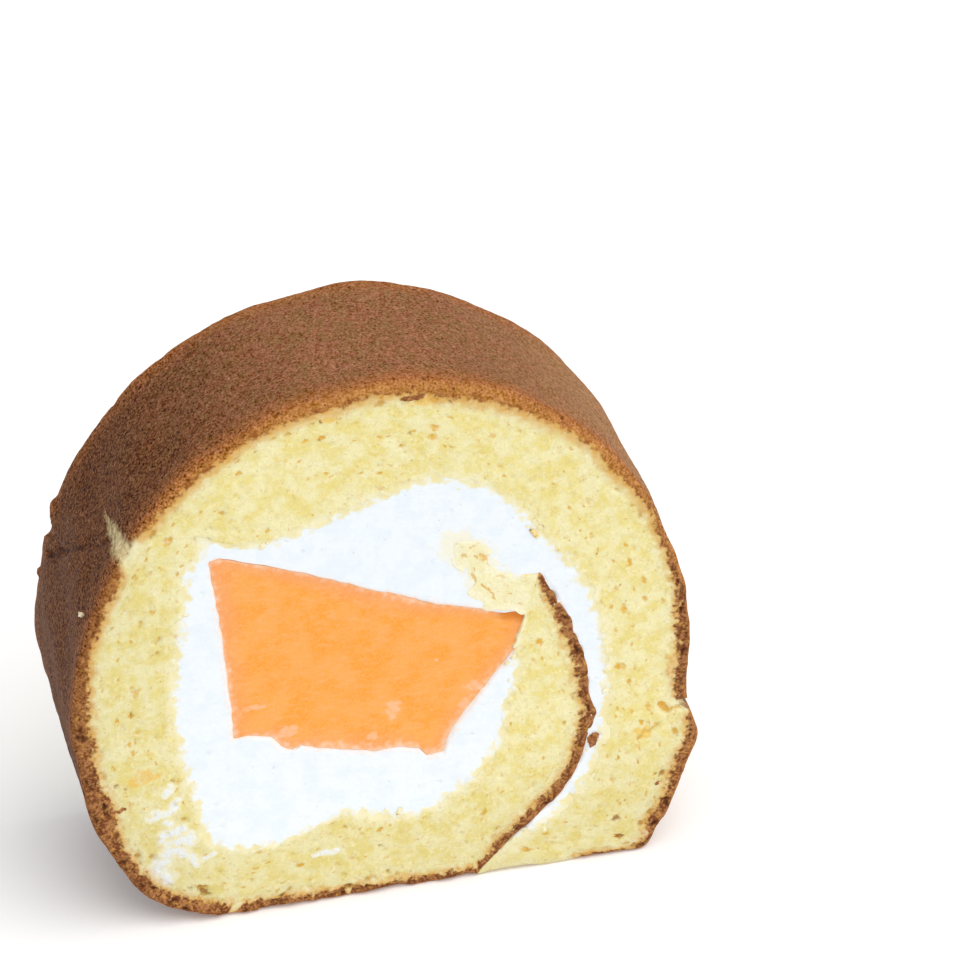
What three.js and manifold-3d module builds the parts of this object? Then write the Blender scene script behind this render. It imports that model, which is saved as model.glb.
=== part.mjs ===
// A thick slice of swiss roll cake, standing on the roll's flattened underside.
//
// One sheet of sponge is rolled up from its inner end, which lies in the cream beside a block of
// melon. From there the sheet runs down and outwards, under the roll, up its left side, over the
// top and down the right side, where its cut end rests on the table. Whipped cream fills the
// middle and the narrow arm between the two turns. All three pieces run through the slice.
//
// Millimetres, +Z up, and the roll's axis along Y. The cut face that shows best looks to -Y.
// Sections are drawn in polar form about the roll's centre: an angle in degrees, anticlockwise
// from +X as seen from the front, and a radius. Along the sheet the angle falls from the inner
// end to the outer end, and keeps falling past a full turn.

import * as THREE from "three";
import { mergeVertices } from "three/addons/utils/BufferGeometryUtils.js";
import Module from "manifold-3d";

const wasm = await Module();
wasm.setup();

// ---------------------------------------------------------------- driving sizes

const THICKNESS = 29.6; // of the slice at the roll's centre
const CUT_TAPER = 0.042; // mm of thickness lost for each mm to the right, as the knife ran askew
const CENTRE_HEIGHT = 40; // the roll's centre above the table
const HALF_LEFT = 47.5;
const HALF_RIGHT = 45.4;
const HALF_UP = 50.6;
const HALF_DOWN = 40.4; // the last 0.4 mm is pressed flat on the table
const CLEARANCE = 0.3; // between neighbouring pieces
const DEPTH_STEPS = 3; // lengths from the front face to the back one
const OUTLINE_STEP = 2.4; // degrees between the outline's points
const SPIRAL_STEP = 3;
const CREAMED_STEP = 2.5;

// Superellipse powers of the outline's four quarters: 2 is an ellipse, more is squarer.
const POWER = { upRight: 1.88, upLeft: 2.03, downLeft: 3.66, downRight: 8.2 };

// Swellings and hollows of the outline: angle, half width in degrees, height in mm.
const OUTLINE_SWELLS = [
  [-128, 9, 1.2], // the lower left corner is full,
  [-151, 9, -1.2], // and drawn in above that,
  [-179, 10, 0.8], // with a slight belly
  [-39, 5, -1.2], // the lower right corner is nipped
  [-23, 4.5, 1.0], // the crust stands off below its crack
];

// The sheet's turns.
const INNER_END_ANGLE = 33;
const TOUCHDOWN_ANGLE = -72; // where the inner turn reaches the table
const TAIL_ANGLE = -431.5; // the sheet's outer end, on the table beside the inner turn
const TURN = 360;

// Radius of the crusted side of the inner turn: angle, mm.
const SPIRAL_RADIUS = [
  [-73, 41.83], [-62, 38.3], [-48, 37.3], [-38, 36.1], [-15, 31.1], [10, 27.4], [33, 26.4],
];

// Width of the cream arm between the inner turn and the outer one: angle, mm.
const ARM_WIDTH = [
  [-73, 0.6], [-62, 1.1], [-46, 1.2], [-27, 1.7], [-5, 2.7], [20, 4.2], [33, 4.1],
];

// Radius of the sheet's creamed side, from the outer turn back to the inner end: angle, mm.
const CREAMED_RADIUS = [
  [-340, 30.6], [-316, 30.2], [-305, 32.1], [-281, 33.4], [-268, 31.2], [-250, 29.9],
  [-233, 32.2], [-221, 38.5], [-202, 34.3], [-175, 32.8], [-150, 34.8], [-137, 37.8],
  [-125, 33.4], [-110, 25.4], [-85, 26.1], [-63, 24], [-40, 20.9], [-28, 18.7], [-3, 18.4],
  [20, 21.5],
];
const CREAMED_START = 20;
const CREAMED_END = -427.5;
const ARM_END_ANGLE = -60; // where the cream arm runs out between the turns

// The torn inner end of the sheet, from above the melon's tip to the crust: x, z from the centre.
const TORN_END = [
  [18.3, 8.6], [15.8, 9.4], [13.8, 11], [12.2, 12.6], [10.9, 14.4], [10.6, 16.8], [8.6, 19.6],
  [9.4, 22], [12.6, 21.8], [14.8, 20.2], [14.4, 17.8], [16.6, 15.6], [19.2, 14.7],
];

// The melon block's corners: x, z from the centre.
const MELON_CORNERS = [
  [-27.4, 25], [-9, 18.6], [8, 11.8], [19.8, 7.2], [19.4, 3.4], [15.8, -1.6], [8, -13.4],
  [5.6, -14.8], [-4, -13.2], [-14, -11.2], [-18, -8.2], [-24.6, -7],
];
const MELON_EDGE_STEP = 3;
const MELON_RECESS = 0.5; // its face lies a little behind the cut face

// Small relief.
const CRUST_WAVE = 0.3; // of the crust, in and out
const CRUST_WAVES = [19, 11, 5]; // whole waves round the roll
const CRUST_REACH = 6; // how far in they are felt
const RAGGED = 0.5; // of the edge between sponge and cream
const EDGE_WAVES = [47, 29, 13];
const EDGE_REACH = 3;
const DENT_ANGLE = 147; // the crust is dented at the upper left, deepest at the front face
const DENT_HALF_WIDTH = 6;
const DENT_DEPTH = 1.5;
const DENT_FADE = 0.7; // of its depth, from the front face to the back one
const PORES_A_FACE = 26;
const PORE_RADIUS = [0.55, 1.05];
const PORE_SPACING = 4;
const PORE_SHEET = 7; // the thinnest sheet that has pores

const FRONT = -THICKNESS / 2;
const centre = new THREE.Vector2(0, CENTRE_HEIGHT);

// ---------------------------------------------------------------- small tools

// A smooth function through the keys, each an angle and a value, in rising order of angle.
function smoothThrough(keys) {
  const curve = new THREE.CubicInterpolant(keys.map((k) => k[0]), keys.map((k) => k[1]), 1);
  return (angle) => curve.evaluate(THREE.MathUtils.clamp(angle, keys[0][0], keys.at(-1)[0]))[0];
}

function polar(angle, radius) {
  const a = THREE.MathUtils.degToRad(angle);
  return new THREE.Vector2(Math.cos(a) * radius, Math.sin(a) * radius).add(centre);
}

// A bell of height 1 round a middle angle, which reaches 0 at twice its half width.
function bell(angle, middle, halfWidth) {
  const off = THREE.MathUtils.euclideanModulo(angle - middle + 180, TURN) - 180;
  return THREE.MathUtils.smoothstep(2 - Math.abs(off / halfWidth), 0, 2);
}

// A random number source that gives the same numbers each run.
function seeded(seed) {
  let state = seed;
  return () => {
    state = (state + 0x6d2b79f5) | 0;
    let t = Math.imul(state ^ (state >>> 15), 1 | state);
    t = (t + Math.imul(t ^ (t >>> 7), 61 | t)) ^ t;
    return ((t ^ (t >>> 14)) >>> 0) / 4294967296;
  };
}

// An uneven wave from -1 to 1 round the roll, made of three counts of whole waves. It drifts with y.
function uneven(turn, y, [short, middling, long]) {
  return (
    0.45 * Math.sin(turn * short + y * 0.11) +
    0.33 * Math.sin(turn * middling + 2.1 - y * 0.17) +
    0.22 * Math.sin(turn * long + 4.4 + y * 0.07)
  );
}

// A closed loop of points moved sideways: inwards for a positive distance on an anticlockwise loop.
function offsetLoop(loop, distance) {
  const sign = THREE.ShapeUtils.isClockWise(loop) ? -1 : 1;
  return loop.map((point, i) => {
    const before = loop.at(i - 1);
    const after = loop[(i + 1) % loop.length];
    const along = after.clone().sub(before).normalize();
    return point.clone().add(new THREE.Vector2(-along.y, along.x).multiplyScalar(sign * distance));
  });
}

// ---------------------------------------------------------------- the section's lines

const spiralRadius = smoothThrough(SPIRAL_RADIUS);
const armWidth = smoothThrough(ARM_WIDTH);
const creamedKeys = smoothThrough(CREAMED_RADIUS);

// The roll's outside: a superellipse with its own half sizes and power in each quarter.
function outlineRadius(angle) {
  const a = THREE.MathUtils.degToRad(angle);
  const across = Math.cos(a);
  const up = Math.sin(a);
  const side = across > 0 ? "Right" : "Left";
  const power = POWER[(up > 0 ? "up" : "down") + side];
  const width = across > 0 ? HALF_RIGHT : HALF_LEFT;
  const height = up > 0 ? HALF_UP : HALF_DOWN;
  const sum = Math.abs(across / width) ** power + Math.abs(up / height) ** power;
  let radius = sum ** (-1 / power);
  for (const [middle, halfWidth, rise] of OUTLINE_SWELLS) {
    radius += rise * bell(angle, middle, halfWidth);
  }
  return radius;
}

function outlinePoint(angle) {
  const point = polar(angle, outlineRadius(angle));
  point.y = Math.max(point.y, 0);
  return point;
}

function spiralPoint(angle) {
  return polar(angle, spiralRadius(angle));
}

// The sheet's creamed side. On the outer turn it follows the inner turn, an arm's width off.
function creamedRadius(angle) {
  const lapped = angle + TURN;
  const overArm = lapped <= CREAMED_START;
  return overArm ? spiralRadius(lapped) + armWidth(lapped) : creamedKeys(angle);
}

function creamedPoint(angle) {
  return polar(angle, creamedRadius(angle));
}

function stretch(from, to, step, pointAt) {
  const count = Math.round(Math.abs(to - from) / step);
  return Array.from({ length: count + 1 }, (_, i) => pointAt(from + ((to - from) * i) / count));
}

const tornEnd = TORN_END.map(([x, z]) => new THREE.Vector2(x, z).add(centre));

// Crusted side outwards from the inner end, the whole outline, then back along the creamed side.
const spongeLoop = [
  ...stretch(INNER_END_ANGLE, TOUCHDOWN_ANGLE, SPIRAL_STEP, spiralPoint),
  ...stretch(TOUCHDOWN_ANGLE - OUTLINE_STEP, TAIL_ANGLE, OUTLINE_STEP, outlinePoint),
  ...stretch(CREAMED_END, CREAMED_START, CREAMED_STEP, creamedPoint),
  ...tornEnd,
];

// The same lines round the filling, from the thin end of the arm and back to it.
const fillingLoop = [
  ...stretch(ARM_END_ANGLE - TURN, CREAMED_START, CREAMED_STEP, creamedPoint),
  ...tornEnd,
  ...stretch(INNER_END_ANGLE, ARM_END_ANGLE, SPIRAL_STEP, spiralPoint),
];

const melonLoop = MELON_CORNERS.flatMap(([x, z], i) => {
  const from = new THREE.Vector2(x, z).add(centre);
  const to = new THREE.Vector2(...MELON_CORNERS[(i + 1) % MELON_CORNERS.length]).add(centre);
  const count = Math.max(1, Math.round(from.distanceTo(to) / MELON_EDGE_STEP));
  return Array.from({ length: count }, (_, k) => from.clone().lerp(to, k / count));
});

// ---------------------------------------------------------------- from a section to a solid

function backFace(x) {
  return THICKNESS / 2 - CUT_TAPER * x;
}

// 1 on a line and 0 at the reach from it or further.
function nearness(distance, reach) {
  return 1 - THREE.MathUtils.smoothstep(Math.abs(distance), 0, reach);
}

// How near a point is to the creamed side of the sheet, on whichever turn it lies.
function creamedNearness(angle, radius) {
  const turns = [angle - TURN, angle - 2 * TURN];
  const onSheet = turns.filter((turned) => turned < CREAMED_START && turned > CREAMED_END);
  return Math.max(0, ...onSheet.map((t) => nearness(radius - creamedRadius(t), EDGE_REACH)));
}

// How far the crust stands off its outline, by its waves and its dent.
function crustMove(angle, y) {
  const waves = uneven(THREE.MathUtils.degToRad(angle), 2 * y, CRUST_WAVES);
  const deep = DENT_DEPTH * (1 - (DENT_FADE * (y - FRONT)) / THICKNESS);
  return CRUST_WAVE * waves - deep * bell(angle, DENT_ANGLE, DENT_HALF_WIDTH);
}

// Moves a point of the straight block to its place in the cake. One smooth field moves all three
// pieces, so they keep their clearance: waves and a dent near the crust, raggedness near the
// cream's edge, and the back face's askew cut.
function relieve(point) {
  const share = (point.y - FRONT) / THICKNESS;
  const fromCentre = new THREE.Vector2(point.x, point.z).sub(centre);
  const radius = fromCentre.length();
  const turn = fromCentre.angle();
  const angle = THREE.MathUtils.radToDeg(turn);
  const offTable = THREE.MathUtils.smoothstep(point.z, 0.5, 12);
  const nearCrust = nearness(outlineRadius(angle) - radius, CRUST_REACH);
  const ragged = RAGGED * uneven(turn, point.y / 2, EDGE_WAVES);
  const edgeMove = ragged * creamedNearness(angle, radius);
  const move = (crustMove(angle, point.y) * nearCrust + edgeMove) * offTable;
  fromCentre.multiplyScalar(1 + move / radius);
  point.x = fromCentre.x;
  point.z = fromCentre.y + CENTRE_HEIGHT;
  point.y = FRONT + share * (backFace(point.x) - FRONT);
}

// The loop's block from the front face to the back one, short of each by the recess.
function block(loop, recess = 0) {
  const geometry = new THREE.ExtrudeGeometry(new THREE.Shape(loop), {
    depth: THICKNESS - 2 * recess,
    steps: DEPTH_STEPS,
    bevelEnabled: false,
  });
  geometry.rotateX(Math.PI / 2).translate(0, THICKNESS / 2 - recess, 0);
  const place = geometry.attributes.position;
  const point = new THREE.Vector3();
  for (let i = 0; i < place.count; i++) {
    point.fromBufferAttribute(place, i);
    relieve(point);
    place.setXYZ(i, point.x, point.y, point.z);
  }
  return solidOf(geometry);
}

function solidOf(geometry) {
  const bare = geometry.index ? geometry.toNonIndexed() : geometry.clone();
  bare.deleteAttribute("normal");
  bare.deleteAttribute("uv");
  const merged = mergeVertices(bare, 1e-4);
  return new wasm.Manifold(
    new wasm.Mesh({
      numProp: 3,
      vertProperties: merged.attributes.position.array,
      triVerts: new Uint32Array(merged.index.array),
    }),
  );
}

function meshOf(name, solid, material) {
  const made = solid.getMesh();
  const geometry = new THREE.BufferGeometry();
  geometry.setAttribute("position", new THREE.BufferAttribute(made.vertProperties, 3));
  geometry.setIndex(new THREE.BufferAttribute(made.triVerts, 1));
  geometry.computeVertexNormals();
  const mesh = new THREE.Mesh(geometry, material);
  mesh.name = name;
  return mesh;
}

// ---------------------------------------------------------------- cracks and pores

// A crack is cut by a wedge that follows the crust from its front end to its back one: each has an
// angle, a depth y, a half width, how deep the wedge's edge lies, and how far it leans downwards.
const CRUST_CRACKS = [
  // Over the dent, wide open at the cut face and closing towards the back.
  [
    { angle: 145, y: FRONT - 1, half: 1.9, deep: 1.1, lean: 0 },
    { angle: 143.5, y: 1.5, half: 0.15, deep: 0.2, lean: 0 },
  ],
  // From the dent down the side to the back rim.
  [
    { angle: 148, y: -10, half: 0.4, deep: 0.5, lean: 0.3 },
    { angle: 171, y: 19, half: 0.7, deep: 0.9, lean: 0.6 },
  ],
  // A nick in the back rim.
  [
    { angle: 154, y: 10, half: 0.15, deep: 0.1, lean: 0 },
    { angle: 156, y: 19, half: 1.5, deep: 1.1, lean: 0 },
  ],
  // Above the loose flap on the right.
  [
    { angle: -16.5, y: FRONT - 1, half: 0.9, deep: 5, lean: 1.8 },
    { angle: -17.5, y: 16, half: 0.5, deep: 1.2, lean: 0.5 },
  ],
];
const CRACK_STEPS = 9;
const WEDGE_LIFT = 0.8; // the wedge's open side, off the crust

function onCrust(angle, y, lift) {
  const place = polar(angle, outlineRadius(angle) + crustMove(angle, y) + lift);
  return new THREE.Vector3(place.x, y, place.y);
}

function crack([start, end]) {
  const corners = [];
  for (let i = 0; i <= CRACK_STEPS; i++) {
    const share = i / CRACK_STEPS;
    const at = (key) => THREE.MathUtils.lerp(start[key], end[key], share);
    const turned = THREE.MathUtils.radToDeg(at("half") / HALF_LEFT);
    const leant = THREE.MathUtils.radToDeg(at("lean") / HALF_LEFT) * Math.sign(at("angle"));
    corners.push(
      onCrust(at("angle") - turned, at("y"), WEDGE_LIFT),
      onCrust(at("angle") + turned, at("y"), WEDGE_LIFT),
      onCrust(at("angle") + leant, at("y"), -at("deep")),
    );
  }
  const faces = [[0, 1, 2]];
  for (let i = 0; i < CRACK_STEPS; i++) {
    for (let k = 0; k < 3; k++) {
      const [here, next] = [3 * i + k, 3 * i + ((k + 1) % 3)];
      faces.push([here, here + 3, next + 3], [here, next + 3, next]);
    }
  }
  const last = 3 * CRACK_STEPS;
  faces.push([last, last + 2, last + 1]);
  const geometry = new THREE.BufferGeometry().setFromPoints(corners);
  geometry.setIndex(faces.flat());
  return solidOf(geometry);
}

// Pores lie scattered over the sheet on both cut faces, drawn out along the sheet.
function pores(random) {
  const made = [];
  const taken = [];
  while (made.length < 2 * PORES_A_FACE) {
    const angle = THREE.MathUtils.lerp(-425, 5, random());
    const across = THREE.MathUtils.lerp(0.22, 0.78, random());
    const size = THREE.MathUtils.lerp(...PORE_RADIUS, random() ** 2);
    const atFront = made.length < PORES_A_FACE;
    const crusted = angle > TOUCHDOWN_ANGLE ? spiralRadius(angle) : outlineRadius(angle);
    const radius = THREE.MathUtils.lerp(crusted, creamedRadius(angle), across);
    const place = polar(angle, radius);
    const thick = crusted - creamedRadius(angle) > PORE_SHEET && place.y > PORE_SPACING;
    const near = (t) => t.atFront === atFront && t.place.distanceTo(place) < PORE_SPACING;
    if (!thick || taken.some(near)) continue;
    taken.push({ place, atFront });
    const pore = new THREE.IcosahedronGeometry(size, 0);
    pore.rotateX(random() * 3).rotateZ(random() * 3).scale(1.5, 1, 0.8);
    pore.rotateY(-THREE.MathUtils.degToRad(angle + 90));
    const y = atFront ? FRONT : backFace(place.x);
    made.push(solidOf(pore.translate(place.x, y, place.y)));
  }
  return made;
}

// ---------------------------------------------------------------- the pieces

const spongeSolid = block(spongeLoop).subtract(
  wasm.Manifold.union([...CRUST_CRACKS.map(crack), ...pores(seeded(7))]),
);

const melonSolid = block(melonLoop, MELON_RECESS);

// The melon's tip all but touches the sheet, and the sliver of cream it pinches off is left out.
const melonRoom = block(offsetLoop(melonLoop, -CLEARANCE), -1);
const creamBodies = block(offsetLoop(fillingLoop, CLEARANCE)).subtract(melonRoom).decompose();
const creamSolid = creamBodies.reduce((most, body) => (body.volume() > most.volume() ? body : most));

const sponge = meshOf(
  "sponge",
  spongeSolid,
  new THREE.MeshStandardMaterial({ color: 0xf1e3a2, roughness: 0.9, metalness: 0 }),
);
const cream = meshOf(
  "cream",
  creamSolid,
  new THREE.MeshStandardMaterial({ color: 0xf6f8fb, roughness: 0.55, metalness: 0 }),
);
const melon = meshOf(
  "melon",
  melonSolid,
  new THREE.MeshStandardMaterial({ color: 0xfcae50, roughness: 0.35, metalness: 0 }),
);

// The frame's origin is the middle of the footprint's box, on the table.
const slice = new THREE.Group();
slice.add(sponge, cream, melon);
const box = new THREE.Box3().setFromObject(slice);
const middle = box.getCenter(new THREE.Vector3());
slice.position.set(-middle.x, -middle.y, 0);

export default slice;
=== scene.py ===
# %% [markdown]
# A thick slice of swiss roll, cut by a knife and stood on its flattened side. The solids say where
# sponge, cream and fruit are; this lesson gives each one the surface that it has on the real cake.
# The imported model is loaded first, because every piece below is worked out in its frame.

# %% The frame
import itertools

import bpy
import numpy as np
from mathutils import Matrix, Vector


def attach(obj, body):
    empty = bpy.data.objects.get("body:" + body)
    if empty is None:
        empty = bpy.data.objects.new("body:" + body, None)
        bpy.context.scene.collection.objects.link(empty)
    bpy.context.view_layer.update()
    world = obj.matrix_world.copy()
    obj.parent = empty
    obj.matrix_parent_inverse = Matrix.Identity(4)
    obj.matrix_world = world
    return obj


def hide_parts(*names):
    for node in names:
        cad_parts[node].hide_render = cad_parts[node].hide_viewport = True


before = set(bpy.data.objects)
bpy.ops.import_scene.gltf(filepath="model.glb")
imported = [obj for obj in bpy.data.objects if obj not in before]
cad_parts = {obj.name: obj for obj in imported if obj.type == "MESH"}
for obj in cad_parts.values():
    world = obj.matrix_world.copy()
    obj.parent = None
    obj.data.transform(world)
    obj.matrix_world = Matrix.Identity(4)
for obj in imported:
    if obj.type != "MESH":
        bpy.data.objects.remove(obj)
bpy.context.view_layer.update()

# %% [markdown]
# The camera comes next. A long lens from well back keeps the slice's proportions natural, as in a
# studio shot of food, and a small turn to the left shows the baked skin beside the cut face. It could
# be placed by hand in the viewport. Working it out from an aim, two angles and a distance is exact.

# %% Camera
MM = 0.001
CAMERA_AIM = np.array([22.98, 12.83, 50.89])  # mm
CAMERA_TURN, CAMERA_LIFT = np.radians([-14.617, 33.0])
CAMERA_DISTANCE = 700.0  # mm
FRAME_PIXELS = 980
FOCUS_PIXELS = 4594.0  # the focal length, as pixels of the frame
SENSOR = 36.0  # mm
NEAREST, FARTHEST = 0.02, 20  # m, what the camera sees

lift_part, level_part = np.sin(CAMERA_LIFT), np.cos(CAMERA_LIFT)
towards_camera = np.array(
    [level_part * np.sin(CAMERA_TURN), -level_part * np.cos(CAMERA_TURN), lift_part]
)
camera = bpy.data.objects.new("camera", bpy.data.cameras.new("camera"))
bpy.context.scene.collection.objects.link(camera)
camera.location = MM * (CAMERA_AIM + CAMERA_DISTANCE * towards_camera)
camera.rotation_euler = Vector(-towards_camera).to_track_quat("-Z", "Y").to_euler()
camera.data.sensor_width = SENSOR
camera.data.lens = FOCUS_PIXELS / FRAME_PIXELS * SENSOR
camera.data.clip_start, camera.data.clip_end = NEAREST, FARTHEST
bpy.context.scene.camera = camera
print("the lens is", round(camera.data.lens, 1), "mm at", [round(v, 3) for v in camera.location])

# %% [markdown]
# Every line of the cut face is drawn in polar form about the roll's centre, as in the solids: an
# angle in degrees and a radius in mm. Along the sheet of sponge the angle falls, from the torn inner
# end to the cut outer end. The same named sizes are repeated here, so that the surfaces fit.

# %% The roll's sizes
THICKNESS = 29.6
CUT_TAPER = 0.042
CENTRE_HEIGHT = 40.0
TO_PART = np.array([1.0166, -1.0171, 0.0])  # from the roll's own frame to the part's
FRONT = -THICKNESS / 2
HALF_SIZES = {"left": 47.5, "right": 45.4, "up": 50.6, "down": 40.4}
POWERS = {"upright": 1.88, "upleft": 2.03, "downleft": 3.66, "downright": 8.2}
OUTLINE_SWELLS = [(-128, 9, 1.2), (-151, 9, -1.2), (-179, 10, 0.8), (-39, 5, -1.2), (-23, 4.5, 1.0)]
INNER_END, TOUCHDOWN, TAIL = 33.0, -72.0, -431.5
CREAMED_START, CREAMED_END = 20.0, -427.5
SPIRAL_RADIUS = [
    (-73, 41.83), (-62, 38.3), (-48, 37.3), (-38, 36.1), (-15, 31.1), (10, 27.4), (33, 26.4),
]
ARM_WIDTH = [(-73, 0.6), (-62, 1.1), (-46, 1.2), (-27, 1.7), (-5, 2.7), (20, 4.2), (33, 4.1)]
CREAMED_RADIUS = [
    (-340, 30.6), (-316, 30.2), (-305, 32.1), (-281, 33.4), (-268, 31.2), (-250, 29.9),
    (-233, 32.2), (-228, 35.2), (-225.4, 39.2), (-223.4, 38), (-217, 38), (-211.5, 35.6),
    (-200.6, 33.6), (-175, 32.8), (-150, 34.8), (-137, 37.8),
    (-125, 33.4), (-110, 25.4), (-85, 26.1), (-63, 24), (-40, 20.9), (-28, 18.7), (-6, 18.3),
    (2, 17.9), (9, 18.8), (20, 21.2),
]
# The torn inner end, as pairs across the sheet: skin side, then creamed side, each x, z from the centre.
TORN_PAIRS = [
    ((10.4, 22.4), (9.2, 21.4)), ((12.6, 21.8), (8.6, 19.8)), ((14.8, 20.2), (10.0, 17.4)),
    ((14.6, 18.2), (10.8, 14.4)), ((15.3, 16.6), (11.4, 12.0)), ((16.6, 15.6), (12.7, 10.0)),
    ((19.2, 14.7), (15.2, 8.6)),
]
MELON_CORNERS = [
    (-27.2, 24.4), (-25.8, 24.8), (-24, 24.2), (-18.2, 22.2), (-13.5, 20.3), (-5.8, 16.9), (-0.5, 14.6),
    (7, 11.2), (11.6, 9.8), (16.6, 7.9), (20.2, 7.8), (20.6, 6.4), (19.9, 4.5), (19.4, 2.4), (17.7, -0.2),
    (14.6, -4), (12.4, -7.3), (10, -10.5), (8.3, -13.4), (7.6, -15.8), (4.8, -16.1), (4.1, -14.6),
    (1, -13.7), (-3.3, -13.7), (-8.2, -12.5), (-11.8, -11.7), (-14.5, -10.6), (-15.4, -11.5),
    (-17.5, -10.5), (-19, -8.4), (-22.9, -7.6), (-24.7, -7.8), (-24.7, -4), (-25.3, 2.4), (-25.9, 10.3),
    (-26.5, 16.8),
]
print("the roll is", HALF_SIZES["left"] + HALF_SIZES["right"], "mm wide and", THICKNESS, "mm thick")


# %% Lines of the section
def smooth_through(keys, at):
    """A cubic through the keys, whose slope at each key is that of the line between its neighbours."""
    place, value = np.array(keys, float).T
    at = np.clip(at, place[0], place[-1])
    last = len(place) - 2
    left = np.clip(np.searchsorted(place, at, side="right") - 1, 0, last)
    before = np.where(left > 0, left - 1, left + 1)
    after = np.where(left < last, left + 2, left)
    start, end = place[left], place[left + 1]
    half = (end - start) / 2
    pull, push = half / (start - place[before]), half / (place[after] - end)
    p = (at - start) / (end - start)
    return (
        (-pull * p**3 + 2 * pull * p**2 - pull * p) * value[before]
        + ((1 + pull) * p**3 - (1.5 + 2 * pull) * p**2 + (pull - 0.5) * p + 1) * value[left]
        + ((-1 - push) * p**3 + (1.5 + push) * p**2 + 0.5 * p) * value[left + 1]
        + (push * p**3 - push * p**2) * value[after]
    )


def smooth_step(value, low, high):
    """0 below low, 1 above high, and 3t² - 2t³ between them. low may be the larger."""
    t = np.clip((value - low) / (high - low), 0, 1)
    return t * t * (3 - 2 * t)


def bell(angle, middle, half_width):
    """1 at the middle angle, falling smoothly to 0 at twice the half width on either side."""
    off = np.mod(angle - middle + 180, 360) - 180
    return smooth_step(2 - np.abs(off / half_width), 0, 2)


def outline_radius(angle):
    """A superellipse with its own half sizes and power in each quarter, plus its swells."""
    across, up = np.cos(np.radians(angle)), np.sin(np.radians(angle))
    width = np.where(across > 0, HALF_SIZES["right"], HALF_SIZES["left"])
    height = np.where(up > 0, HALF_SIZES["up"], HALF_SIZES["down"])
    upper = np.where(across > 0, POWERS["upright"], POWERS["upleft"])
    lower = np.where(across > 0, POWERS["downright"], POWERS["downleft"])
    power = np.where(up > 0, upper, lower)
    radius = (np.abs(across / width) ** power + np.abs(up / height) ** power) ** (-1 / power)
    return radius + sum(rise * bell(angle, middle, half) for middle, half, rise in OUTLINE_SWELLS)


def spiral_radius(angle):
    """The skin side of the inner turn."""
    return smooth_through(SPIRAL_RADIUS, angle)


def creamed_radius(angle):
    """The creamed side of the sheet. Past a full turn it keeps an arm's width off the inner turn."""
    lapped = angle + 360
    over_arm = spiral_radius(lapped) + smooth_through(ARM_WIDTH, lapped)
    return np.where(lapped <= CREAMED_START, over_arm, smooth_through(CREAMED_RADIUS, angle))


def polar(angle, radius):
    """x, z of a point at that angle and radius, from the roll's centre."""
    turn = np.radians(angle)
    return np.stack([np.cos(turn) * radius, np.sin(turn) * radius], -1)


def back_face(x):
    """y of the back cut face, which the knife cut slightly askew."""
    return THICKNESS / 2 - CUT_TAPER * x


print("the skin is", np.round(outline_radius(np.array([0.0, 90, 180, 270])), 1), "mm from the centre")

# %% [markdown]
# Nothing in a cake is smooth. All its unevenness, from the wavy skin to the pores of the crumb, comes
# from two kinds of noise, worked out for whole arrays of points at once. Value noise blends random
# numbers at the corners of a grid. Pits are bubbles, one in a cell of a grid at most, with random
# places, sizes and turns. Both use the same little hash, so each run gives the same cake.

# %% Noise and pits
HASH_START, HASH_STEPS = 0x27D4EB2F, [(16, 0x7FEB352D), (15, 0x846CA68B)]
CELL_PRIMES = [0x9E3779B1, 0x85EBCA77, 0xC2B2AE3D]


def hashed(cells, seed):
    """A number from 0 to 1 for each cell: its indices times large primes, with their bits mixed."""
    mixed = np.full(cells.shape[:-1], HASH_START * (seed + 1) & 0xFFFFFFFF, np.uint32)
    for axis, prime in zip(range(cells.shape[-1]), CELL_PRIMES):
        mixed ^= cells[..., axis].astype(np.int64).astype(np.uint32) * np.uint32(prime)
        for shift, factor in HASH_STEPS:
            mixed ^= mixed >> np.uint32(shift)
            mixed *= np.uint32(factor)
        mixed ^= mixed >> np.uint32(16)
    return mixed / 2.0**32


def noise(points, size, seed, octaves=1):
    """From -1 to 1: corner values blended by 6t⁵ - 15t⁴ + 10t³, and each octave half the one before."""
    total, weight = 0.0, 0.0
    for octave in range(octaves):
        place = points * (2**octave / size)
        cell = np.floor(place)
        t = place - cell
        blend = t**3 * (t * (t * 6 - 15) + 10)
        value = 0.0
        for corner in itertools.product((0, 1), repeat=points.shape[-1]):
            share = np.prod(np.where(corner, blend, 1 - blend), -1)
            value = value + share * hashed(cell + corner, seed + 17 * octave)
        total = total + (2 * value - 1) * 0.5**octave
        weight += 0.5**octave
    return total / weight


def pits(points, cell_size, share, radii, seed, stretch=1.5):
    """Depth in bubbles: in each cell one ellipse at most, and r times 1 - distance²."""
    place = points / cell_size
    home = np.floor(place)
    deepest = np.zeros(points.shape[:-1])
    for step in itertools.product((-1, 0, 1), repeat=2):
        cell = home + step
        centre = cell + 0.5 + 0.7 * np.stack([hashed(cell, seed + k) - 0.5 for k in (1, 2)], -1)
        radius = radii[0] + (radii[1] - radii[0]) * hashed(cell, seed + 3) ** 2
        turn = 1.1 * (hashed(cell, seed + 4) - 0.5)
        off = (place - centre) * cell_size
        along = off[..., 0] * np.cos(turn) + off[..., 1] * np.sin(turn)
        over = off[..., 1] * np.cos(turn) - off[..., 0] * np.sin(turn)
        inside = 1 - ((along / stretch) ** 2 + over**2) / radius**2
        there = hashed(cell, seed + 5) < share
        deepest = np.maximum(deepest, radius * np.clip(inside, 0, 1) * there)
    return deepest


trial = np.random.default_rng(1).uniform(-50, 50, (4000, 2))
print("noise spreads to", round(float(np.abs(noise(trial, 3.0, 5)).max()), 2))
print("pits cover", round(float((pits(trial, 2.0, 0.5, (0.3, 0.7), 2) > 0).mean()), 2), "of the crumb")


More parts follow.
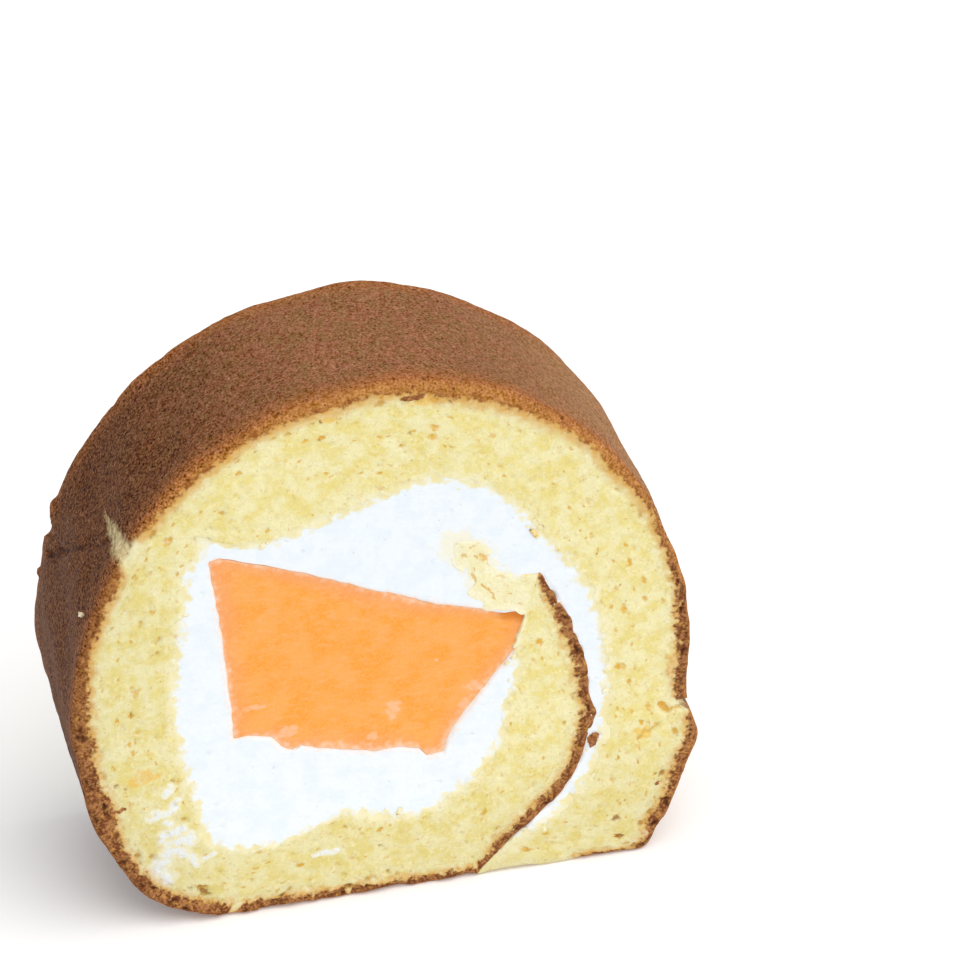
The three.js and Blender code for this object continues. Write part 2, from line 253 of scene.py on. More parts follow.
# %% From a grid to a closed mesh
def closed_mesh(name, grid, values, joined=False):
    """A grid of rings becomes a mesh: faces join neighbours, rings close on themselves, and the two
    end rings are closed by a middle point each, or joined to each other. Values become attributes."""
    rings, count, _ = grid.shape
    points = grid.reshape(-1, 3)
    if not joined:
        points = np.vstack([points, grid[0].mean(0), grid[-1].mean(0)])
    here = np.arange(rings * count).reshape(rings, count)
    side = np.roll(here, -1, 1)
    rows = slice(None) if joined else slice(0, -1)
    ahead, ahead_side = np.roll(here, -1, 0), np.roll(side, -1, 0)
    quads = np.stack([here[rows], side[rows], ahead_side[rows], ahead[rows]], -1).reshape(-1, 4)
    triangles = np.zeros((0, 3), int)
    if not joined:
        first, last = np.full(count, rings * count), np.full(count, rings * count + 1)
        triangles = np.vstack(
            [np.stack([side[0], here[0], first], -1), np.stack([here[-1], side[-1], last], -1)]
        )
    halves = np.vstack([quads[:, :3], quads[:, [0, 2, 3]], triangles])
    a, b, c = (points[halves[:, k]] for k in range(3))
    volume = np.einsum("ij,ij->i", a, np.cross(b, c)).sum() / 6
    if volume < 0:
        quads, triangles, volume = quads[:, ::-1], triangles[:, ::-1], -volume
    mesh = bpy.data.meshes.new(name)
    corners = np.concatenate([quads.ravel(), triangles.ravel()]).astype(np.int32)
    totals = np.repeat([4, 3], [len(quads), len(triangles)]).astype(np.int32)
    mesh.vertices.add(len(points))
    mesh.vertices.foreach_set("co", ((points + TO_PART) * MM).astype(np.float32).ravel())
    mesh.loops.add(len(corners))
    mesh.loops.foreach_set("vertex_index", corners)
    mesh.polygons.add(len(totals))
    mesh.polygons.foreach_set("loop_start", np.cumsum(totals, dtype=np.int32) - totals)
    mesh.polygons.foreach_set("use_smooth", np.ones(len(totals), bool))
    mesh.update(calc_edges=True)
    for key, value in values.items():
        wide = value.ndim == 3
        value = np.broadcast_to(value, grid.shape if wide else grid.shape[:2])
        ends = [] if joined else [value[0].mean(0), value[-1].mean(0)]
        flat = [value.reshape(rings * count, -1)] + [end.reshape(1, -1) for end in ends]
        layer = mesh.attributes.new(key, "FLOAT_VECTOR" if wide else "FLOAT", "POINT")
        flat = np.concatenate(flat).astype(np.float32).ravel()
        layer.data.foreach_set("vector" if wide else "value", flat)
    piece = bpy.data.objects.new(name, mesh)
    bpy.context.scene.collection.objects.link(piece)
    print(name, "has", len(halves), "triangles and holds", round(volume / 1000, 1), "cm³")
    return piece

# %% [markdown]
# The sponge is one long sheet, so it is made as one: stations are set out along it, from the torn
# inner end to the cut outer end, and each carries a ring that goes over the front cut face, round
# the rim, across the baked skin, round the back rim, over the back cut face and home along the
# creamed side. Sculpting or a displaced cube could give a cake too, but here each point knows how far
# it lies from the skin and from the cream, and both the relief and the colours need that.

# %% Stations along the sheet
SHEET_STATIONS = 790
TURN_STEP = 0.25  # degrees, before the stations are spaced evenly
TORN_ANGLES = np.linspace(60, 36, len(TORN_PAIRS))  # a label alone, past the inner end


def sheet_lines():
    """Skin side, creamed side and angle at each station: pairs of points, evenly spaced along the
    line midway between them. Near both ends the creamed side runs ahead or lags by a few degrees."""
    inner = np.arange(INNER_END, TOUCHDOWN, -TURN_STEP)
    lag = (INNER_END - CREAMED_START) * smooth_step(inner, -20, INNER_END)
    outer = np.arange(TOUCHDOWN, TAIL, -TURN_STEP)
    lead = (CREAMED_END - TAIL) * smooth_step(outer, -420, TAIL)
    torn = np.array(TORN_PAIRS)
    skin = [torn[:, 0], polar(inner, spiral_radius(inner)), polar(outer, outline_radius(outer))]
    creamed = [
        torn[:, 1],
        polar(inner - lag, creamed_radius(inner - lag)),
        polar(outer + lead, creamed_radius(outer + lead)),
    ]
    skin, creamed = np.vstack(skin), np.vstack(creamed)
    angle = np.concatenate([TORN_ANGLES, inner, outer])
    middle = (skin + creamed) / 2
    length = np.append(0, np.cumsum(np.linalg.norm(np.diff(middle, axis=0), axis=1)))
    even = np.linspace(0, length[-1], SHEET_STATIONS)
    columns = np.column_stack([skin, creamed, angle])
    spaced = np.stack([np.interp(even, length, column) for column in columns.T], -1)
    spaced[:, [1, 3]] = np.maximum(spaced[:, [1, 3]], -CENTRE_HEIGHT)
    return spaced[:, :2], spaced[:, 2:4], spaced[:, 4], even


skin_line, creamed_line, sheet_angle, along = sheet_lines()
sheet_thickness = np.linalg.norm(skin_line - creamed_line, axis=1)
print("the sheet is", round(along[-1]), "mm long and up to", round(sheet_thickness.max(), 1), "mm thick")

# %% The ring round the sheet
FACE_POINTS, RIM_POINTS, WALL_POINTS, BACK_POINTS = 48, 5, 43, 22
# The rim's radius by angle along the sheet: worn round at the top, sharp between the turns.
RIM_RADII = [
    (-431.5, 0.4), (-410, 0.9), (-335, 0.9), (-322, 1.1), (-300, 1.4), (-225, 1.4), (-205, 1.2),
    (-190, 0.9), (-74, 0.9), (-66, 0.5), (60, 0.5),
]


def ring_profile():
    """Rows for: depth under the skin, as shares of the sheet's thickness and of the rim's radius;
    depth behind the front face, as shares of the slice's thickness and of the rim's radius; how much
    the point belongs to the front face, to the back face, and to the skin."""
    front, back = np.linspace(0, 1, FACE_POINTS), np.linspace(1, 0, BACK_POINTS)
    bend = np.radians(np.arange(1, RIM_POINTS + 1) * 90 / (RIM_POINTS + 1))
    wall, home = np.linspace(0, 1, WALL_POINTS), np.array([0.75, 0.5, 0.25])
    inward, sunk = 1 - np.sin(bend), 1 - np.cos(bend)
    parts = [
        [1 - front, front, 0 * front, 0 * front, front**0, 0 * front, 0 * front],
        [0 * bend, inward, 0 * bend, sunk, np.cos(bend), 0 * bend, np.sin(bend)],
        [0 * wall, 0 * wall, wall, 1 - 2 * wall, 0 * wall, 0 * wall, wall**0],
        [0 * bend, inward[::-1], bend**0, -sunk[::-1], 0 * bend, np.sin(bend), np.cos(bend)],
        [1 - back, back, back**0, 0 * back, 0 * back, back**0, 0 * back],
        [home**0, 0 * home, home, 0 * home, 0 * home, 0 * home, 0 * home],
    ]
    return np.hstack(parts)


ring = ring_profile()
rim = np.minimum(np.interp(sheet_angle, *np.array(RIM_RADII).T), 0.3 * sheet_thickness)[:, None]
under = ring[0] * sheet_thickness[:, None] + ring[1] * rim  # mm under the skin
from_cream = sheet_thickness[:, None] - under
on_front, on_back, on_skin = (np.broadcast_to(row, under.shape) for row in ring[4:])
along_grid = np.broadcast_to(along[:, None], under.shape)
angle_grid = np.broadcast_to(sheet_angle[:, None], under.shape)
print("a ring has", ring.shape[1], "points, and the grid", under.size)

# %% [markdown]
# The skin's relief is a distance in or out at each angle and depth: slow waves from baking and
# rolling, a dent at the upper left, and the cracks. A crack is a groove whose place, width and depth
# change from its front end to its back one, so a few named numbers describe each.

# %% Waves, dent and cracks of the skin
CRUST_WAVE, CRUST_WAVES, CRUST_REACH = 0.3, (19, 11, 5), 6.0
RAGGED, EDGE_WAVES, EDGE_REACH = 0.5, (47, 29, 13), 3.0
DENT_ANGLE, DENT_HALF_WIDTH, DENT_DEPTH = 147, 6, 0.4
# Each crack: angle, y, half width, depth at the front end, then at the back one. Lengths in mm.
SKIN_CRACKS = {
    "open crack over the dent": ((144.6, FRONT - 1, 3.0, 0.35), (146.0, -2.5, 0.3, 0.15)),
    "crease down the side": ((146.5, -9.5, 0.5, 0.3), (166, 11, 0.9, 0.6)),
    "nick in the back rim": ((162.3, 11, 0.5, 0.2), (163, 16.5, 2.2, 1.1)),
    "tear over the loose flap": ((-17.2, FRONT - 1, 0.9, 1.3), (-17.5, 16, 0.5, 0.7)),
}
FLAP_ANGLE, FLAP_HALF, FLAP_SWELL = -382.5, 3.2, 0.9  # the loose flap stands out a little
CORNER_ANGLE, CORNER_HALF, CORNER_SWELL = -45.5, 2.2, 1.6  # the sharp front corner at the right foot
BACK_RIM_SWELLS = [(158.5, 1.3, 0.8), (172.5, 0.5, 0.7)]  # angle, half width, height
BARE_CRACKS = ("open crack over the dent", "tear over the loose flap")


def uneven(turn, y, waves):
    """Three sines with whole counts round the roll, so that they meet themselves, drifting with y."""
    short, middling, long = waves
    return (
        0.45 * np.sin(turn * short + 0.11 * y)
        + 0.33 * np.sin(turn * middling + 2.1 - 0.17 * y)
        + 0.22 * np.sin(turn * long + 4.4 + 0.07 * y)
    )


def groove(angle, y, ends, wander):
    """1 in the middle of a crack and 0 outside it, the same but softer, and the depth. The ends are
    blended by y."""
    (angle0, y0, half0, deep0), (angle1, y1, half1, deep1) = ends
    share = np.clip((y - y0) / (y1 - y0), 0, 1)
    middle = angle0 + (angle1 - angle0) * share
    off = (np.mod(angle - middle + 180, 360) - 180) * np.radians(1) * HALF_SIZES["left"]
    half = half0 + (half1 - half0) * share
    beyond = np.maximum(y0 - y, 0) + np.maximum(y - y1, 0)
    distance = np.abs(off + wander) / half + beyond
    wider = (1 - smooth_step(distance, 0.3, 1.4)) * (1 - 0.45 * share)
    return 1 - smooth_step(distance, 0.55, 1.15), wider, deep0 + (deep1 - deep0) * share


print("the skin has", len(SKIN_CRACKS), "cracks, and", len(BARE_CRACKS), "of them show crumb")

# %% The skin's relief
flat_y = FRONT + ring[2] * THICKNESS + ring[3] * rim
skin_place = np.stack([along_grid, flat_y], -1)
crack_wander = 0.5 * noise(skin_place, 3.0, 31) + 0.25 * noise(skin_place, 0.9, 32)
turn_grid = np.radians(angle_grid)
skin_z = np.broadcast_to(skin_line[:, 1:2] + CENTRE_HEIGHT, under.shape)
off_table = smooth_step(skin_z, 0.5, 12)
broad_move = CRUST_WAVE * uneven(turn_grid, 2 * flat_y, CRUST_WAVES)
broad_move = broad_move - DENT_DEPTH * bell(angle_grid, DENT_ANGLE, DENT_HALF_WIDTH)
broad_move = broad_move + 0.16 * noise(skin_place, 7.0, 33)
near_back = smooth_step(flat_y, 11, 16)
for angle, half_width, height in BACK_RIM_SWELLS:
    broad_move = broad_move + height * near_back * bell(angle_grid, angle, half_width)
broad_move = broad_move + FLAP_SWELL * bell(angle_grid, FLAP_ANGLE, FLAP_HALF) * (1 - near_back)
on_outside = smooth_step(angle_grid, TOUCHDOWN + 2, TOUCHDOWN - 4)
corner = CORNER_SWELL * bell(angle_grid, CORNER_ANGLE, CORNER_HALF) * on_outside * (1 - near_back)
corner = corner * (1 - smooth_step(under, 0, CRUST_REACH))
bare, crack_depth = np.zeros(under.shape), np.zeros(under.shape)
for crack_name, ends in SKIN_CRACKS.items():
    inside, wider, depth = groove(angle_grid, flat_y, ends, crack_wander)
    reach = on_outside * smooth_step(under, 4.5, 1.0)
    crack_depth = np.maximum(crack_depth, inside * reach * depth)
    bare = np.maximum(bare, wider * reach * (crack_name in BARE_CRACKS))
    print(crack_name, "covers", round(float((inside * on_skin > 0.5).mean() * 100), 2), "% of the grid")

# %% [markdown]
# The cut faces carry the crumb. A knife leaves them nearly flat, with a soft broad unevenness, fine
# grain, and the bubbles that it opened. Bubbles lie flatter and longer near the skin, because the
# sheet was bent there. At the creamed side the crumb falls away, so that cream and sponge run into
# each other in ragged teeth instead of a drawn line.

# %% Bubbles, tears and streaks
BUBBLES = [  # cell, share of cells, smallest and largest radius, depth as a share of the radius
    (1.5, 0.5, (0.2, 0.42), 0.6), (3.2, 0.5, (0.3, 0.55), 0.6), (8.0, 0.5, (0.4, 0.7), 0.6),
]
# Bubbles that stand out on the front face: x, z from the centre, half length, half height, depth.
LARGE_PORES = [
    (2.7, 41.6, 0.35, 0.35, 0.5), (1.5, 39.6, 0.5, 0.4, 0.5), (7.1, 47.3, 0.4, 0.3, 0.5),
    (8.7, 46.2, 0.3, 0.3, 0.5), (-31.0, 22.7, 0.9, 0.5, 0.5), (-25.0, 32.5, 0.7, 0.45, 0.5),
    (-23.7, 30.9, 0.5, 0.4, 0.4), (-28.9, 28.7, 0.4, 0.7, 0.4), (-37.5, 15.4, 0.5, 0.9, 0.4),
    (-34.9, 12.4, 0.4, 0.6, 0.5), (-35.3, 9.8, 0.4, 0.6, 0.5), (-39.6, -0.3, 0.3, 0.8, 0.5),
    (-32.5, -20.6, 0.7, 0.5, 0.5), (-33.9, -17.4, 0.6, 0.6, 0.4), (-34.0, -13.3, 0.5, 0.4, 0.5),
    (-10.3, -25.6, 0.9, 0.45, 0.6), (-8.0, -26.6, 0.6, 0.35, 0.5), (-2.7, -31.2, 0.5, 0.35, 0.5),
    (-29.6, -35.1, 1.1, 0.5, 0.9), (-30.5, -33.8, 0.7, 0.7, 0.9), (-7.5, -38.1, 0.8, 0.5, 0.9),
    (-8.4, -35.5, 0.4, 0.3, 0.5), (-1.5, -36.4, 0.5, 0.4, 0.5), (14.5, 15.3, 0.3, 0.3, 0.5),
    (-29.8, -33.7, 0.8, 0.4, 0.7), (-32.0, -33.5, 0.7, 0.3, 0.5),
    (-39.7, -26.1, 0.8, 0.5, 0.6), (-37.4, -26.8, 0.9, 0.6, 0.6),
]
# Small tears in the crumb, at the loose flap and at the torn end: a line, its half width and depth.
TEARS = [
    ([(46.6, -14.6), (45.0, -14.0), (42.8, -14.4)], 0.6, 0.4), ([(41.0, -13.0), (41.9, -14.6)], 0.8, 0.6),
    ([(41.0, -16.4), (39.9, -17.9), (38.8, -17.6), (37.6, -18.4)], 0.35, 0.4),
    ([(12.8, 21.4), (11.6, 20.2)], 0.25, 0.5), ([(13.2, 18.8), (14.2, 17.6)], 0.6, 0.7),
    ([(11.6, 15.6), (12.3, 14.0)], 0.45, 0.6), ([(13.6, 13.8), (14.4, 12.6), (15.6, 11.2)], 0.25, 0.5),
    ([(15.3, 14.8), (16.0, 14.2)], 0.3, 0.4),
]
# Yellow stains where syrup soaked in: x, z from the centre, half length, half height.
STAINS = [
    (-38.3, -11.9, 3.0, 1.7), (38.2, -17.7, 2.0, 1.4), (-9.2, 45.9, 1.5, 0.7), (4.5, 46.8, 3.0, 0.8),
]
# Cream that the knife dragged over the crumb: the line of each streak, then its half width.
SMEARS = [
    ([(-31.4, -24.2), (-33.2, -24.8), (-35.3, -26.0), (-36.4, -27.9)], 0.9),
    ([(-36.4, -27.9), (-36.9, -29.4), (-35.4, -30.8)], 1.0), ([(-33.8, -25.6), (-30.8, -28.5)], 0.55),
    ([(-29.3, -28.3), (-27.8, -27.6)], 0.4), ([(-34.9, -14.8), (-34.2, -14.2)], 0.5),
    ([(-37.6, -19.3), (-36.2, -18.6), (-33.7, -18.2)], 0.4), ([(-36.0, -23.3), (-33.2, -22.2)], 0.6),
    ([(-34.3, -17.2), (-33.2, -16.6)], 0.45), ([(-12.6, -31.0), (-9.8, -30.6)], 0.35),
    ([(39.0, -36.9), (39.4, -36.2)], 0.5), ([(-35.2, -20.4), (-34.4, -20.9)], 0.35),
]
# Browned hollows near the crust: x, z from the centre, half length, half height.
BROWNED_PORES = [
    (41.6, -25.8, 0.5, 0.5), (40.5, -25.8, 0.4, 0.35), (39.8, -32.9, 0.9, 0.5), (34.4, -33.2, 0.8, 0.6),
    (38.3, -34.7, 0.6, 0.5), (32.7, -35.0, 0.4, 0.4), (34.6, -36.3, 0.6, 0.4), (36.9, -38.2, 0.9, 0.5),
    (42.3, -31.3, 0.6, 0.9), (35.8, -29.8, 0.3, 0.3), (7.1, 47.3, 0.4, 0.3), (8.7, 46.2, 0.3, 0.3),
    (-42.4, -12.6, 0.5, 0.3), (-41.0, -13.4, 0.4, 0.3), (-30.0, -34.6, 0.7, 0.5), (-7.9, -37.9, 0.7, 0.4),
    (2.7, 41.6, 0.35, 0.35), (-10.4, 43.0, 0.2, 0.7), (-10.4, 45.6, 0.15, 0.5),
    (-42.0, -26.8, 1.2, 0.4), (-7.5, -38.1, 0.4, 0.5), (-18.3, -38.5, 0.8, 0.3), (-31.0, -35.4, 0.8, 0.3),
]
# Lumps of crust along the foot of the front rim: x, half width, how far forward. Lengths in mm.
BASE_LUMPS = [
    (-33.5, 3.6, 0.4), (-29.5, 3.2, 0.5), (-23.2, 2.2, 0.5), (-15.8, 4.6, 0.4), (-3.5, 3.0, 0.3),
    (8.0, 2.6, 0.3),
]
print(len(LARGE_PORES), "large pores,", len(TEARS), "tears and", len(SMEARS), "streaks of cream")

# %% The crust's width
# Width of the browned band at the cut, by angle along the sheet.
CRUST_BAND = [
    (-431.5, 0.02), (-415.6, 0.02), (-414.2, 0.9), (-406, 1.0), (-404, 1.6), (-400, 3.0), (-395, 2.4),
    (-388, 2.2), (-381, 1.4), (-378.8, 1.2), (-378.4, 0.2), (-376.8, 0.2), (-376.3, 1.8), (-369, 2.2),
    (-357, 2.0), (-350, 1.5), (-335, 1.0), (-322, 1.4), (-318, 1.8), (-311, 1.2), (-302, 1.6),
    (-294, 2.1), (-282, 2.5), (-271, 2.2), (-266, 1.9), (-262, 2.5), (-253, 1.8), (-241, 1.5),
    (-231, 1.7), (-222, 1.4), (-218, 0.1), (-213.5, 0.1), (-212, 1.4), (-208, 1.9), (-204.5, 1.4),
    (-201, 1.8), (-195, 1.4), (-187, 2.0), (-180, 2.5), (-174, 2.8), (-168, 2.6), (-163, 2.9),
    (-158, 3.7), (-154, 2.6), (-151, 2.2), (-143, 2.6), (-133, 2.8), (-124.3, 2.7), (-123.7, 0.5),
    (-122.8, 0.5), (-122.2, 2.6), (-118, 2.4), (-110, 2.1), (-101.8, 1.8), (-101.2, 0.3),
    (-100.4, 0.3), (-99.8, 1.8), (-89, 1.6),
    (-72, 1.6), (-50, 2.0), (-15, 2.0), (10, 1.7), (30, 1.3), (33, 1.1), (33.4, 0.02),
]
# Where the skin rolls over the rim and ends in a thin amber line, instead of a band cut open.
ROLLED_RIM = [(-345, 0), (-320, 1), (-225, 1), (-205, 0.6), (-185, 0.3), (-172, 0)]
band_width = np.interp(sheet_angle, *np.array(CRUST_BAND).T)[:, None]
print("the browned band is up to", band_width.max(), "mm wide")

# %% Relief of a cut face
CREAM_FALL, FALL_REACH = 0.5, 1.4  # mm, how far the crumb falls away at the cream, and over what width


def near_line(points, line):
    """Distance to the nearest point of a broken line, one of its pieces at a time."""
    nearest = np.full(points.shape[:-1], 1e9)
    for start, end in zip(np.array(line[:-1]), np.array(line[1:])):
        run = end - start
        share = np.clip(((points - start) @ run) / (run @ run), 0, 1)
        nearest = np.minimum(nearest, np.linalg.norm(points - start - share[..., None] * run, axis=-1))
    return nearest


def oval_gap(points, oval):
    """Squared distance from an oval's middle, 1 at its edge. An oval is x, z, half length and height."""
    return (((points - oval[:2]) / oval[2:4]) ** 2).sum(-1)


def covered(points, ovals, ragged, outer, inner):
    """How far the nearest oval covers each point: 0 beyond the outer gap and 1 within the inner one."""
    return np.maximum.reduce([smooth_step(oval_gap(points, oval) + ragged, outer, inner) for oval in ovals])


def broad_face(section, seed):
    """The slow unevenness of a cut face, which crumb and cream share because one knife made both."""
    return 0.14 * noise(section, 13, seed) + 0.06 * noise(section, 4, seed + 1)


def crumb_face(section, along, under, from_cream, band, stands_up, seed):
    """Height of a cut face off its plane and how far each point lies in a bubble: broad and fine
    noise, less bubbles, less the fall towards the cream. A browned band is rougher than the crumb."""
    sheet_place = np.stack([along, under], -1)
    browned = smooth_step(under, 1.15 * band, 0.7 * band)
    height = broad_face(section, seed) + (0.06 + 0.12 * browned) * noise(section, 1.2, seed + 2, 2)
    stretch = 1.3 + 0.9 * smooth_step(under, 5, 1)
    hollow = 0
    for k, (cell, share, radii, depth) in enumerate(BUBBLES):
        hollow = np.maximum(hollow, depth * pits(sheet_place, cell, share, radii, seed + 10 * k, stretch))
    crust_hollow = 0.9 * browned * pits(sheet_place, 1.6, 0.7, (0.25, 0.5), seed + 50, 2.0)
    hollow = np.maximum(hollow * (1 - 0.5 * browned) * stands_up, crust_hollow)
    frayed = 0.6 * noise(section, 2.4, seed + 3) + 0.8 * noise(section, 1.0, seed + 4, 2)
    fall = CREAM_FALL * (1 - smooth_step(from_cream + frayed, 0, FALL_REACH)) ** 1.5
    return height - hollow - fall * stands_up, hollow


# %% Both cut faces
FRUIT_TIP, TIP_REACH = (19.0, 5.4), (3.0, 5.5)  # round the fruit's tip the crumb doesn't fall away
FAR_FROM_CREAM = 50  # mm
FRONT_SEED, BACK_SEED = 60, 360

share_under = (under / sheet_thickness[:, None])[..., None]
section = skin_line[:, None] + (creamed_line - skin_line)[:, None] * share_under
outwards = (skin_line - creamed_line) / sheet_thickness[:, None]
# The torn end has cream on both its sides. There, at the fruit's tip and at the tail, less falls away.
torn = smooth_step(angle_grid, INNER_END, INNER_END + 3)
cream_gap = np.minimum(from_cream, under + FAR_FROM_CREAM * (1 - torn))
tip_away = smooth_step(np.linalg.norm(section - FRUIT_TIP, axis=-1), *TIP_REACH)
stands_up = (1 - 0.75 * smooth_step(angle_grid, 8, 32)) * tip_away * smooth_step(angle_grid, -422, -413)
face_inputs = section, along_grid, under, cream_gap, band_width, stands_up
front_height, front_hollow = crumb_face(*face_inputs, FRONT_SEED)
back_height, back_hollow = crumb_face(*face_inputs, BACK_SEED)
print("the front face's own bubbles are up to", round(float(front_hollow.max()), 2), "mm deep")

# %% Marks on the front face
stain = on_front * covered(section, STAINS, 0.8 * noise(section, 1.0, 43, 2), 1.6, 0.0)
scorched = on_front * covered(section, BROWNED_PORES, 1.2 * noise(section, 0.7, 45, 2), 1.6, 0.1)
marks, smear, base_lump = 0.3 * scorched, np.zeros(under.shape), np.zeros(under.shape)
pore_warp = (1 + 0.25 * noise(section, 0.8, 40)) ** 2
for *oval, depth in LARGE_PORES:
    marks = np.maximum(marks, depth * np.clip(1 - oval_gap(section, oval) * pore_warp, 0, 1))
streaked = section + 0.7 * np.stack([noise(section, 1.6, 46, 2), noise(section, 1.6, 47, 2)], -1)
for line, half in SMEARS:
    smear = np.maximum(smear, on_front * smooth_step(near_line(streaked, line), 2.4 * half, 0.2 * half))
for x, half, forward in BASE_LUMPS:
    base_lump = np.maximum(base_lump, forward * smooth_step(np.abs(section[..., 0] - x) / half, 1, 0.3))
base_lump = base_lump * smooth_step(under, 3.2, 1.2) * smooth_step(section[..., 1], -28, -35) * on_outside
jagged = section + 0.5 * np.stack([noise(section, 1.5, 41), noise(section, 1.5, 42)], -1)
for line, half, depth in TEARS:
    marks = np.maximum(marks, depth * smooth_step(near_line(jagged, line), half, 0.3 * half))
front_height = front_height - np.maximum(marks - front_hollow, 0) * (1 - 0.85 * torn)
front_height = front_height + base_lump + 0.12 * smear
front_hollow = np.maximum(front_hollow, marks)
print("the deepest pore of the front face is", round(float((front_hollow * on_front).max()), 2), "mm")

# %% [markdown]
# Now the points. Each starts on its straight line from the skin to the cream, moves out or in with
# the skin's relief, which fades inwards, and rises or falls with the relief of its face. On the
# table the skin is only ever pressed up, never through the table.

# %% The sponge's mesh
SKIN_GRAIN = 0.07  # mm, the fine unevenness of the baked skin
TAIL_CLOSES, TAIL_SLIDES = 1.3, 1.4  # mm, the sheet's thin end lies against the inner turn
BASE_LIFT = 0.55  # mm, how far the hollows of the underside rise

fine_move = SKIN_GRAIN * noise(skin_place, 1.3, 34, 2) + 0.1 * noise(skin_place, 2.8, 35)
rim_wear = 0.4 * noise(skin_place, 2.0, 36, 2) + 0.35 * noise(skin_place, 5.0, 44)
rim_wear = rim_wear + 0.25 * noise(skin_place, 1.1, 48)
rim_wear = rim_wear * smooth_step(on_skin, 1.01, 0.2) * (1 - smooth_step(under, 1.0, 3.0))
move = broad_move * (1 - smooth_step(under, 0, CRUST_REACH))
move = move + (fine_move + rim_wear - crack_depth) * (1 - smooth_step(under, 0, 2.5))
teeth = RAGGED * uneven(turn_grid, flat_y / 2, EDGE_WAVES)
teeth = teeth + 0.5 * noise(skin_place, 1.7, 37) + 0.3 * noise(skin_place, 0.8, 38)
move = move * off_table + teeth * (1 - smooth_step(from_cream, 0, EDGE_REACH))
tail_shift = TAIL_CLOSES * smooth_step(angle_grid, -414, -420) * (1 - smooth_step(from_cream, 0, 2.5))
place = section + outwards[:, None] * (move + corner - tail_shift)[..., None]
place = place - TAIL_SLIDES * smooth_step(angle_grid, -421, -429)[..., None] * (1, 0)
on_base = (1 - off_table) * smooth_step(under, 3, 0)
lift = BASE_LIFT * on_base * np.clip(0.3 + noise(skin_place, 4.5, 39, 2), 0, 1)
z = np.maximum(place[..., 1] + CENTRE_HEIGHT, 0) + lift
thick_here = back_face(place[..., 0]) - FRONT
y = FRONT + ring[2] * thick_here + ring[3] * rim - on_front * front_height + on_back * back_height
sponge_grid = np.stack([place[..., 0], y, z], -1)

hollow = np.maximum(front_hollow * on_front, back_hollow * on_back)
rim_gap = np.minimum(y - FRONT, FRONT + thick_here - y)
not_baked = smooth_step(angle_grid, 33.05, 33.5) + smooth_step(angle_grid, -413.8, -415.8) * on_skin
sponge = closed_mesh("sponge", sponge_grid, {
    "under_skin": under,
    "from_cream": cream_gap,
    "stain": stain,
    "scorched": scorched,
    "smear": smear,
    "cream_side": cream_gap + move + 0.9 * smooth_step(angle_grid, 12, 30) + 2.5 * (1 - tip_away),
    "band": band_width,
    "rolled": np.interp(angle_grid, *np.array(ROLLED_RIM).T),
    "outside": on_skin,
    "rim_gap": rim_gap,
    "hollow": hollow,
    "bare": np.clip(bare + not_baked, 0, 1),
    "cracked": crack_depth * on_skin,
    "in_sheet": np.stack([along_grid, under, y], -1),
})
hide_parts("sponge")
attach(sponge, "root")

# %% [markdown]
# The fruit is a block cut with straight sides, so it could be a cube with bent corners. Here its
# outline is walked once, rounded a little by averaging neighbours, and carried from a middle point of
# the front face over the edge and the side to the middle of the back face.

# %% The fruit's outline
MELON_STATIONS, MELON_FACE, MELON_SIDE = 420, 60, 26
MELON_RECESS, MELON_EDGE = 0.4, 0.3  # mm, how far its face lies back, and its rounded edge
MELON_ROUNDING = 5  # neighbours on each side in the average that rounds the corners
MELON_MIDDLE = np.array([-4.0, 3.0])


def melon_outline(stations):
    """Points at even angles round the fruit's middle: the straight sides, averaged with neighbours."""
    corners = np.array(MELON_CORNERS + MELON_CORNERS[:1], float)
    length = np.append(0, np.cumsum(np.linalg.norm(np.diff(corners, axis=0), axis=1)))
    dense = np.linspace(0, length[-1], 6 * stations, endpoint=False)
    line = np.stack([np.interp(dense, length, column) for column in corners.T], -1)
    shifts = range(-MELON_ROUNDING, MELON_ROUNDING + 1)
    line = sum(np.roll(line, shift, 0) for shift in shifts) / len(shifts)
    off = line - MELON_MIDDLE
    turn = np.unwrap(np.arctan2(off[:, 1], off[:, 0]))
    if turn[-1] < turn[0]:
        turn, off = turn[::-1], off[::-1]
    even = turn[0] + np.linspace(0, 2 * np.pi, stations, endpoint=False)
    return even, np.interp(even, turn, np.hypot(*off.T), period=2 * np.pi)


def melon_profile():
    """Columns from the middle of the front face to that of the back one: share of the outline's
    radius, share of the rounded edge's radius, how much the point belongs to the front face, share of
    the fruit's depth, and how far round the edge."""
    face, side = np.linspace(0.004, 1, MELON_FACE) ** 0.8, np.linspace(0, 1, MELON_SIDE)
    bend = np.radians([18.0, 36.0, 54.0, 72.0])
    inward, sunk = 1 - np.sin(bend), 1 - np.cos(bend)
    parts = [
        [face, face, face**0, 0 * face, 0 * face],
        [bend**0, inward, 1 - bend / (np.pi / 2), 0 * bend, sunk],
        [side**0, 0 * side, 0 * side, side, 1 - 2 * side],
        [bend**0, inward[::-1], 0 * bend, bend**0, -sunk[::-1]],
        [face[::-1], face[::-1], 0 * face, face**0, 0 * face],
    ]
    return np.hstack(parts)[..., None]


melon_turn, melon_radius = melon_outline(MELON_STATIONS)
print("the fruit reaches", round(float(melon_radius.max()), 1), "mm from its middle")

# %% The fruit's mesh
TIP_SHADE = [(17.2, 8.2), (19.4, 7.6), (20.6, 7.2)]  # where crumb hangs over the fruit and shades it
